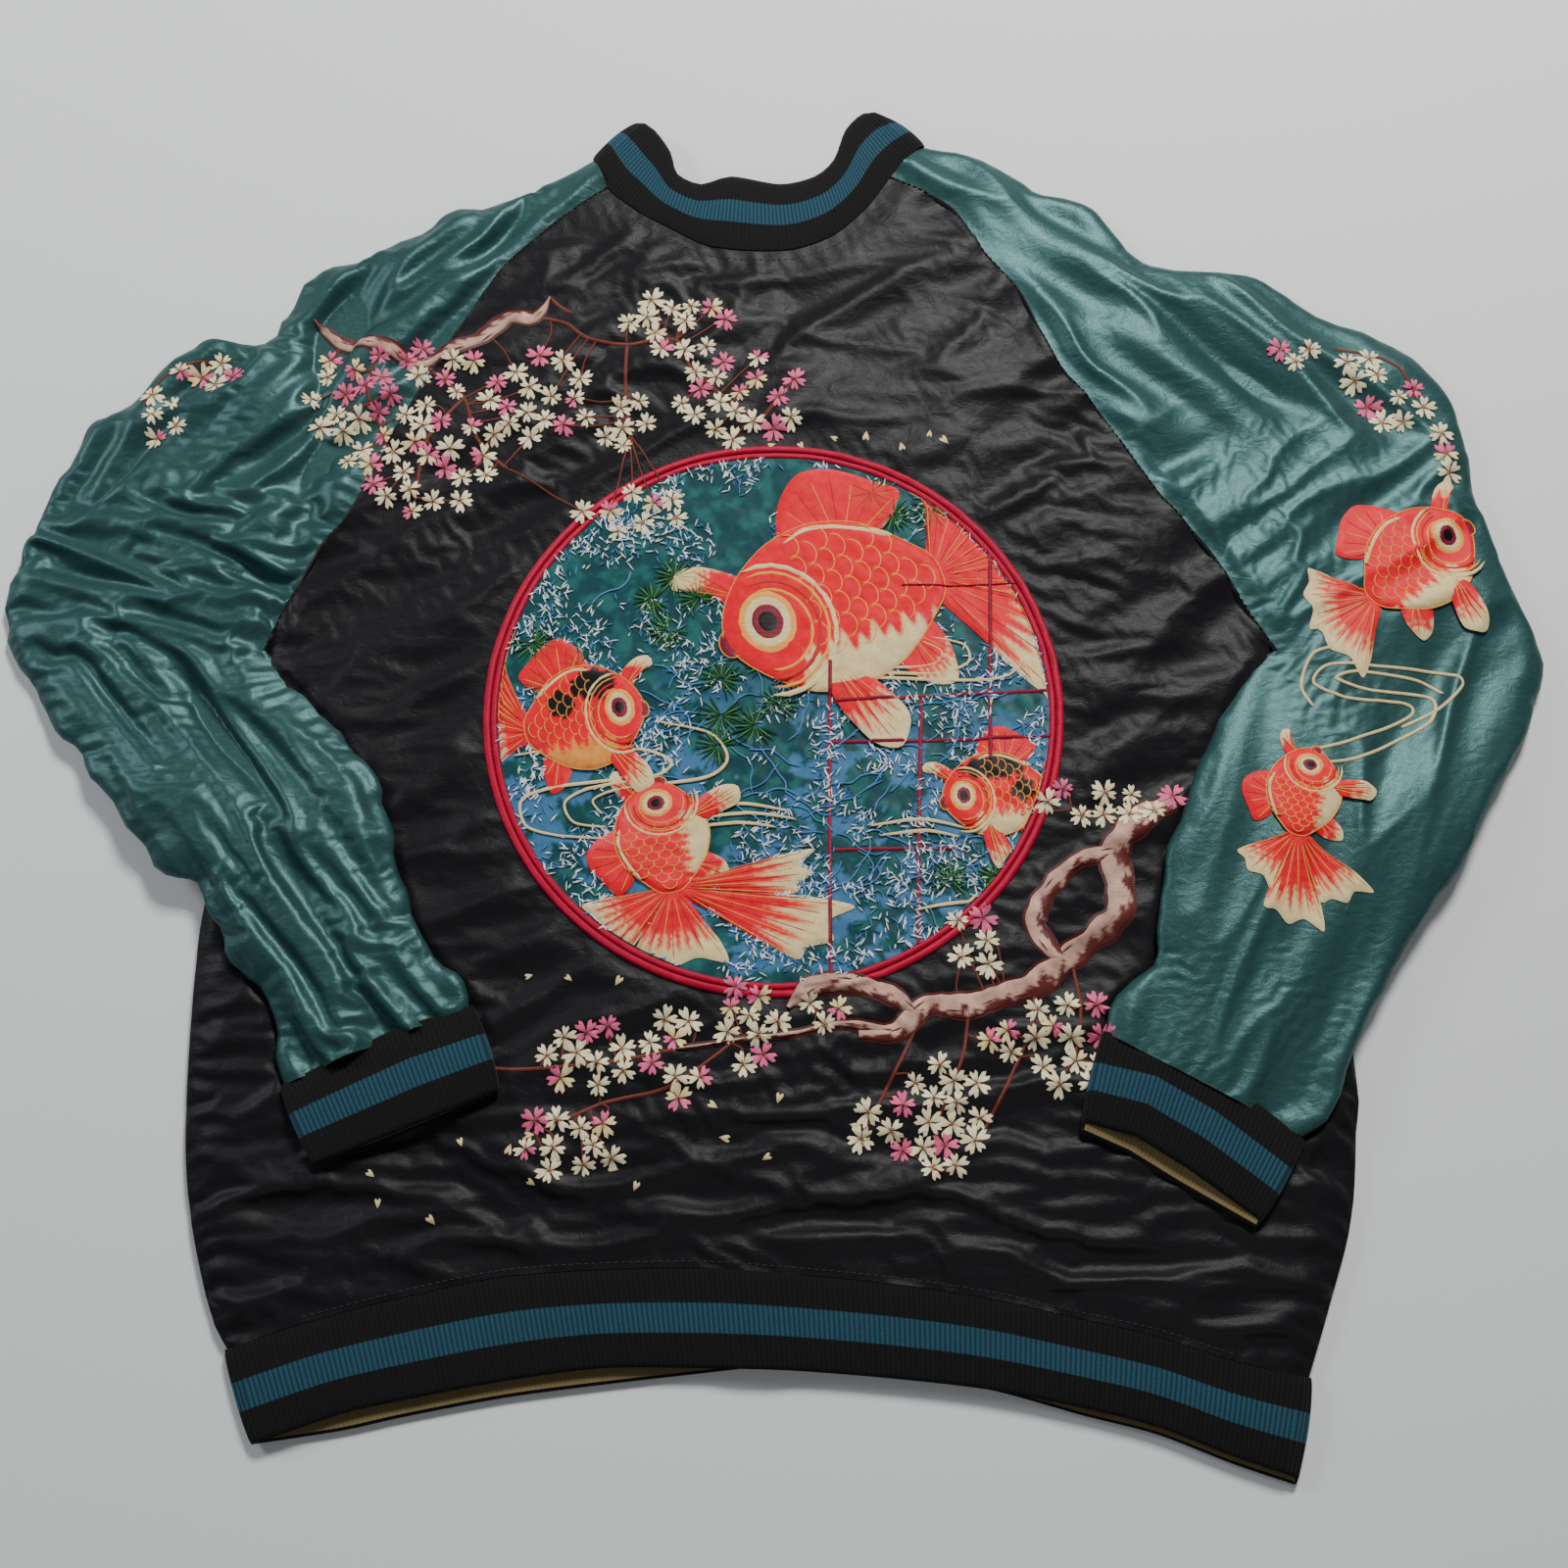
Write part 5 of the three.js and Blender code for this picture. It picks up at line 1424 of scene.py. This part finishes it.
def embroider(cloths, thread):
    """All the needlework, laid on the settled cloth. Gives {name: object}."""
    rng = random.Random(7)
    ground, made = Ground(*cloths), {}

    def finish(name, st, base=ground, keep=True):
        made[name] = st.make(name, base, thread)
        if keep:
            ground.add(made[name])

    st = Stitches()
    pond(st)
    finish("pond_ground", st)
    flat = Ground(*cloths, made["pond_ground"])
    st = Stitches()
    flecks(st, rng)
    pines(st, rng)
    for line in WATER_LINES:
        path = in_circle(wiggle(line, 2.2), WATER_EDGE)
        wide = 1.2 + 0.9 * np.sin(np.linspace(0.2, 2.9, len(path))) ** 2
        st.ribbon(path, wide, CREAM, 1.0, 0.7, 0.3)
    finish("pond_stitches", st, flat, False)
    st = Stitches()
    for fish in POND_FISH:
        goldfish(st, *fish, ring=POND_EDGE)
    finish("goldfish", st, flat)
    st = Stitches()
    for line, width in LATTICE:
        st.ribbon(wiggle(line), width, LATTICE_RED, 0.4, 0.6, 1.0)
    finish("lattice", st, ground, False)

    st = Stitches()
    branch(st, UPPER_BOUGH, (5, 8, 8, 9, 6, 8, 10, 9, 4), 3)
    for line in UPPER_TWIGS:
        twig(st, line, 2.2)
    branch(st, LOWER_BOUGH, (14, 16, 18, 15, 15, 14, 13, 12, 7), 5, 0.8)
    for line in LOWER_LOOPS:
        branch(st, line, (11, 10, 12, 11), 8)
    branch(st, LOWER_ARM, (6, 4, 3, 2, 1.2), 9)
    for line in LOWER_TWIGS:
        twig(st, line, 2.0)
    for x, y in ((-380, 246), (388, 252)):
        side = -1 if x < 0 else 1
        twig(st, [(x - 24 * side, y + 2), (x, y - 3), (x + 18 * side, y - 14),
                  (x + 26 * side, y - 34)], 1.8)
    upper, lower, sleeves = [], [], []
    for cluster, places in ((UPPER_CLUSTERS, upper), (LOWER_CLUSTERS, lower),
                            (SLEEVE_CLUSTERS, sleeves)):
        for x, y, rx, ry, count in cluster:
            scatter(rng, x, y, rx, ry, count, BLOSSOM_GAP, places)
    sprigs(st, rng, upper, UPPER_TWIGS + [UPPER_BOUGH])
    sprigs(st, rng, lower, LOWER_TWIGS + [LOWER_BOUGH, LOWER_ARM])
    finish("branches", st)
    st = Stitches()
    turn = np.linspace(0, 2 * np.pi, 9)[:-1]
    for x, y in upper + lower + sleeves:
        rim = np.c_[x + BLOSSOM_RIM * np.cos(turn), y + BLOSSOM_RIM * np.sin(turn)]
        if not np.isnan(ground.heights(rim)).any():
            blossom(st, rng, x, y)
    loose = []
    for drift in PETAL_DRIFTS:
        scatter(rng, *drift, PETAL_GAP, loose)
    for x, y in loose:
        petal(st, x, y, rng.uniform(5, 7), rng.uniform(0, 6.283), CREAM,
              tuple(c * 0.6 for c in CREAM))
    finish("blossoms", st, ground, False)

    sleeve = Ground(*cloths)
    st = Stitches()
    goldfish(st, (438, 131), (374, 80), 1, [(34, 0.50, 0.36), (-10, 0.55, 0.40)], CREAM)
    finish("sleeve_goldfish_a", st, sleeve, False)
    st = Stitches()
    for line in SLEEVE_WATER:
        path = wiggle(line, 2.2)
        st.ribbon(path, 1.9, tuple(c * 0.9 for c in CREAM), 0.4, 0.8, 0.3)
    finish("sleeve_water", st, sleeve, False)
    st = Stitches()
    goldfish(st, (327, -20), (311, -74), 1,
             [(30, 0.62, 0.40), (-8, 0.95, 0.46), (-46, 0.80, 0.40)], CREAM, pectoral=0.5)
    finish("sleeve_goldfish_b", st, sleeve, False)
    st = Stitches()
    for line in (RAGLAN_L, RAGLAN_R):
        whole = ([BACK_NECK[0]] + line + [ARMPIT_L] if line is RAGLAN_L
                 else [BACK_NECK[-1]] + line + [ARMPIT_R])
        st.ribbon(wiggle(whole), 2.4, (0.006, 0.006, 0.007), -0.2, 1.0, 1.0)
        running_stitch(st, whole, (0.02, 0.02, 0.022), rise=1.0)
    neck = shrink(np.array(BACK_NECK + [(0, 900)], float), -7)[:-1]
    running_stitch(st, neck[1:-1], (0.03, 0.03, 0.032))
    hem = np.array(HEM_SEAM, float) + np.array([0, 3.5])
    running_stitch(st, hem[1:-1], (0.03, 0.03, 0.032))
    finish("seam_stitching", st, Ground(*cloths), False)
    return made


# ---------------------------------------------------------------- zip
def zip_pieces(tape, metal):
    made = {}
    for side in (-1, 1):
        word = "left" if side < 0 else "right"
        ys = np.arange(ZIP_BOTTOM, ZIP_TOP + 0.1, 3.0)
        across = np.array([3.4, 3.7, 8.0, 12.0, 16.5]) * side + ZIP_X
        high = np.array([0.0, 0.75, 0.45, 0.35, 0.30])
        grid = np.zeros((len(ys), len(across) * 2, 3))
        grid[:, :, 0] = np.r_[across, across[::-1]]
        grid[:, :, 1] = ys[:, None]
        ripple = 0.08 * np.cos(ys * 2.1)[:, None]
        grid[:, :, 2] = ZIP_Z + np.r_[high, -high[::-1]][None] + ripple
        made["zip_tape_" + word] = grid_object("zip_tape_" + word, grid, tape, flip=side > 0)
        points, faces = [], []
        block = np.array([[x, y, z] for x in (1.1, 3.9) for y in (-0.62, 0.62)
                          for z in (-1.15, 1.15)])
        block[:4, 1] *= 0.7
        block[:4, 2] *= 0.75
        quads = [(0, 1, 3, 2), (4, 6, 7, 5), (0, 4, 5, 1), (2, 3, 7, 6), (0, 2, 6, 4),
                 (1, 5, 7, 3)]
        y = ZIP_BOTTOM + 22 + (1.2 if side > 0 else 0)
        while y < ZIP_TOP - 8:
            n = len(points)
            points += (block * np.array([side, 1, 1]) + np.array([ZIP_X, y, ZIP_Z])).tolist()
            faces += [tuple(n + k for k in (q if side > 0 else q[::-1])) for q in quads]
            y += 2.4
        made["zip_teeth_" + word] = new_object("zip_teeth_" + word, points, faces, metal, False)
    return made


def padded_strip(name, a, b, half, level, depth, material):
    """A stitched strip, such as a pocket's welt, from a to b, rounded on its lower side."""
    a, b = np.array(a, float), np.array(b, float)
    way = (b - a) / np.linalg.norm(b - a)
    normal = np.array([-way[1], way[0]])
    t = np.linspace(0, 1, 60)
    turn = np.linspace(0, 2 * np.pi, 17)[:-1]
    offset, z = np.cos(turn) * half, np.sin(turn) * depth
    z = np.sign(z) * np.abs(z) ** 0.6 * depth ** 0.4
    end = np.minimum(1, np.sqrt(np.minimum(t, 1 - t) * 30) + 0.25)
    ruck = 1 + 0.10 * np.cos(t * 150)
    line = a[None] + (b - a)[None] * t[:, None]
    xy = line[:, None] + normal * (offset[None, :] * end[:, None])[:, :, None]
    grid = np.concatenate([xy, (level + z[None, :] * (end * ruck)[:, None])[:, :, None]], 2)
    return grid_object(name, np.concatenate([grid, grid[:, :1]], 1), material)


# ---------------------------------------------------------------- assembly
stage_and_camera()
BLACK_SATIN = satin("black_satin_cloth", (0.004, 0.0038, 0.0045), (0.017, 0.016, 0.019),
                    gloss=0.31, metal=0.0, sheen=0.05, level=0.34)
TEAL_SATIN = satin("teal_satin_cloth", (0.009, 0.036, 0.038), (0.050, 0.126, 0.124), gloss=0.30,
                   metal=0.34, sheen=0.15, level=0.5)
LINING = satin("lining_satin_cloth", (0.08, 0.055, 0.018), (0.17, 0.125, 0.05), gloss=0.4,
               metal=0.0, sheen=0.1, level=0.5)
THREAD = thread_material("embroidery_thread")
KNIT = knit_material("rib_knit")
OLIVE_KNIT = woven("olive_rib_knit", (0.10, 0.070, 0.022), (0.22, 0.160, 0.06), 0.85, 900)
TAPE = woven("zip_tape_weave", (0.006, 0.006, 0.007), (0.02, 0.02, 0.022), 0.8, 800)
METAL = brass("worn_brass")


# heights of the inner sheets and the spacing of their outlines, in mm
LINING_BACK_Z, LINING_FRONT_Z, POCKET_BAG_Z, LINING_STEP = 4.9, 4.0, 3.5, 12


def dress(obj, material):
    obj.data.materials.clear()
    obj.data.materials.append(material)
    return obj


back = make_back()
dress(back, BLACK_SATIN)
sleeve_left, sleeve_right = (dress(o, TEAL_SATIN) for o in sleeve_cloth())
fronts = [dress(make_front("front_cloth_" + w, k), BLACK_SATIN)
          for w, k in (("left", -1), ("right", 1))]
lining_back = plain_sheet("lining_back_cloth", shrink(back_outline(LINING_STEP), 10),
                          lining_level(LINING_BACK_Z), 61, flip=True)
dress(lining_back, LINING)
lining_fronts = [
    dress(plain_sheet("lining_front_cloth_" + w, shrink(front_outline(k, LINING_STEP), 9),
                      lining_level(LINING_FRONT_Z), 63), LINING)
    for w, k in (("left", -1), ("right", 1))]
lining_sleeves = [
    dress(tube_lining("lining_sleeve_left", SLEEVE_L, FORE_L_OUT, FORE_L_IN, ARMPIT_L, RAGLAN_L,
                      BACK_NECK[0]), LINING),
    dress(tube_lining("lining_sleeve_right", SLEEVE_R, FORE_R_OUT, FORE_R_IN, ARMPIT_R, RAGLAN_R,
                      BACK_NECK[-1]), LINING)]
bags, welts = [], []
for word, k in (("left", -1), ("right", 1)):
    bag = np.array([(ZIP_X + k * x, y) for x, y in
                    ((150, -30), (206, -205), (190, -265), (92, -265), (70, -120))], float)
    bags.append(dress(plain_sheet("pocket_bag_cloth_" + word, curve_through(bag, 10, True),
                                  flat_level(POCKET_BAG_Z), 70, 10, 0.15), BLACK_SATIN))
    welts.append(padded_strip("welt_" + word, (ZIP_X + k * 150, -42), (ZIP_X + k * 196, -194),
                              9, 1.35, 1.1, BLACK_SATIN))

hem, hem_lining = knit_band("hem_band", hem_sections(), KNIT, lining=OLIVE_KNIT)
collar, collar_lining = knit_band("collar_band", collar_sections(), KNIT, plump=2.0,
                                  flip=True, lining=OLIVE_KNIT)
cuff_left, cuff_left_lining = knit_band(
    "cuff_left_band", cuff_sections(*CUFF_L, (-0.9, -0.4, 0), (0.9, 0.3, 0), (-1, -2)), KNIT,
    wrap=True, lining=OLIVE_KNIT)
cuff_right, cuff_right_lining = knit_band(
    "cuff_right_band", cuff_sections(*CUFF_R, (-0.9, 0.3, 0), (0.9, -0.3, 0), (-4, -9)), KNIT,
    wrap=True, lining=OLIVE_KNIT)
needlework = embroider([back, sleeve_left, sleeve_right], THREAD)
zips = zip_pieces(TAPE, METAL)
for node in ("zip_slider", "pull_tab", "retainer_box", "insertion_pin", "top_stop_left",
             "top_stop_right"):
    for place in bpy.data.objects[node].material_slots:
        place.material = METAL

# what moves with what
for obj in [back, lining_back, hem, hem_lining, collar, collar_lining] + fronts + lining_fronts \
        + bags + welts + list(zips.values()):
    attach(obj, "torso")
for name, obj in needlework.items():
    if name not in ("sleeve_goldfish_b", "sleeve_water"):
        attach(obj, "torso")
for obj in (cuff_left, cuff_left_lining):
    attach(obj, "forearm_left")
for obj in (cuff_right, cuff_right_lining):
    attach(obj, "forearm_right")
ELBOW_ZONE, ELBOW_Z, ELBOW_X_L, ELBOW_X_R = 0.07, 0.0152, -0.3965, 0.396
for objs, body, x in (((sleeve_left, lining_sleeves[0]), "forearm_left", ELBOW_X_L),
                      ((sleeve_right, lining_sleeves[1], needlework["sleeve_water"],
                        needlework["sleeve_goldfish_b"]), "forearm_right", ELBOW_X_R)):
    for obj in objs:
        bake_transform(obj)

# what each piece stands for and is made of
dressing = [
    (back, "black_satin", ["back_panel"]), (lining_back, "lining_satin", ["lining_back"]),
    (hem, "black_rib_knit", ["hem_rib"]), (hem_lining, "olive_rib_knit", ["hem_rib_lining"]),
    (collar, "black_rib_knit", ["collar_rib"]),
    (collar_lining, "olive_rib_knit", ["collar_rib_lining"]),
    (needlework["pond_ground"], "stitched_ground", ["medallion_patch", "medallion_border"]),
    (needlework["pond_stitches"], "stitched_ground", []),
    (needlework["lattice"], "crimson_thread", ["window_lattice"]),
    (needlework["goldfish"], "goldfish_thread",
     ["goldfish_large", "goldfish_spotted", "goldfish_lower", "goldfish_small"]),
    (needlework["sleeve_goldfish_a"], "goldfish_thread", ["sleeve_goldfish_upper"]),
    (needlework["sleeve_goldfish_b"], "goldfish_thread", ["sleeve_goldfish_lower"]),
    (needlework["sleeve_water"], "goldfish_thread", []),
    (needlework["branches"], "branch_thread", ["branch_upper", "branch_lower"]),
    (needlework["blossoms"], "branch_thread", []),
    (needlework["seam_stitching"], "black_satin", [])]
for i, (side, sleeve, cuff, cuff_lining) in enumerate((
        ("left", sleeve_left, cuff_left, cuff_left_lining),
        ("right", sleeve_right, cuff_right, cuff_right_lining))):
    upper, fore = "upper_sleeve_" + side, "forearm_" + side
    dressing += [
        (fronts[i], "black_satin", ["front_panel_" + side]),
        (sleeve, "teal_satin", [upper + "_back", upper + "_front", fore + "_back",
                                fore + "_front"]),
        (lining_fronts[i], "lining_satin", ["lining_front_" + side]),
        (lining_sleeves[i], "lining_satin", [upper + "_lining", fore + "_lining"]),
        (bags[i], "black_satin", ["pocket_bag_" + side]),
        (welts[i], "black_satin", ["pocket_welt_" + side]),
        (cuff, "black_rib_knit", ["cuff_%s_rib" % side]),
        (cuff_lining, "olive_rib_knit", ["cuff_%s_lining" % side]),
        (zips["zip_tape_" + side], "zip_tape", ["zipper_tape_" + side]),
        (zips["zip_teeth_" + side], "zip_metal", ["zipper_teeth_" + side])]
for obj, slot_name, nodes in dressing:
    if nodes:
        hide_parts(*nodes)

# the sheets of cloth, as they were cut
for obj, flat, area, rests in (
        (back, (0.70, 0.80), 0.47, [lining_back]),
        (fronts[0], (0.36, 0.74), 0.215, [lining_fronts[0]]),
        (fronts[1], (0.36, 0.74), 0.215, [lining_fronts[1]]),
        (sleeve_left, (0.46, 0.80), 0.27, [back]),
        (sleeve_right, (0.46, 0.80), 0.29, [back]),
        (lining_back, (0.66, 0.74), 0.40, [lining_fronts[0]]),
        (lining_fronts[0], (0.33, 0.70), 0.185, [fronts[0]]),
        (lining_fronts[1], (0.33, 0.70), 0.185, [fronts[1]]),
        (lining_sleeves[0], (0.40, 0.74), 0.17, [sleeve_left]),
        (lining_sleeves[1], (0.40, 0.74), 0.18, [sleeve_right]),
        (bags[0], (0.14, 0.24), 0.023, [fronts[0]]),
        (bags[1], (0.14, 0.24), 0.023, [fronts[1]])):
    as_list(rests)
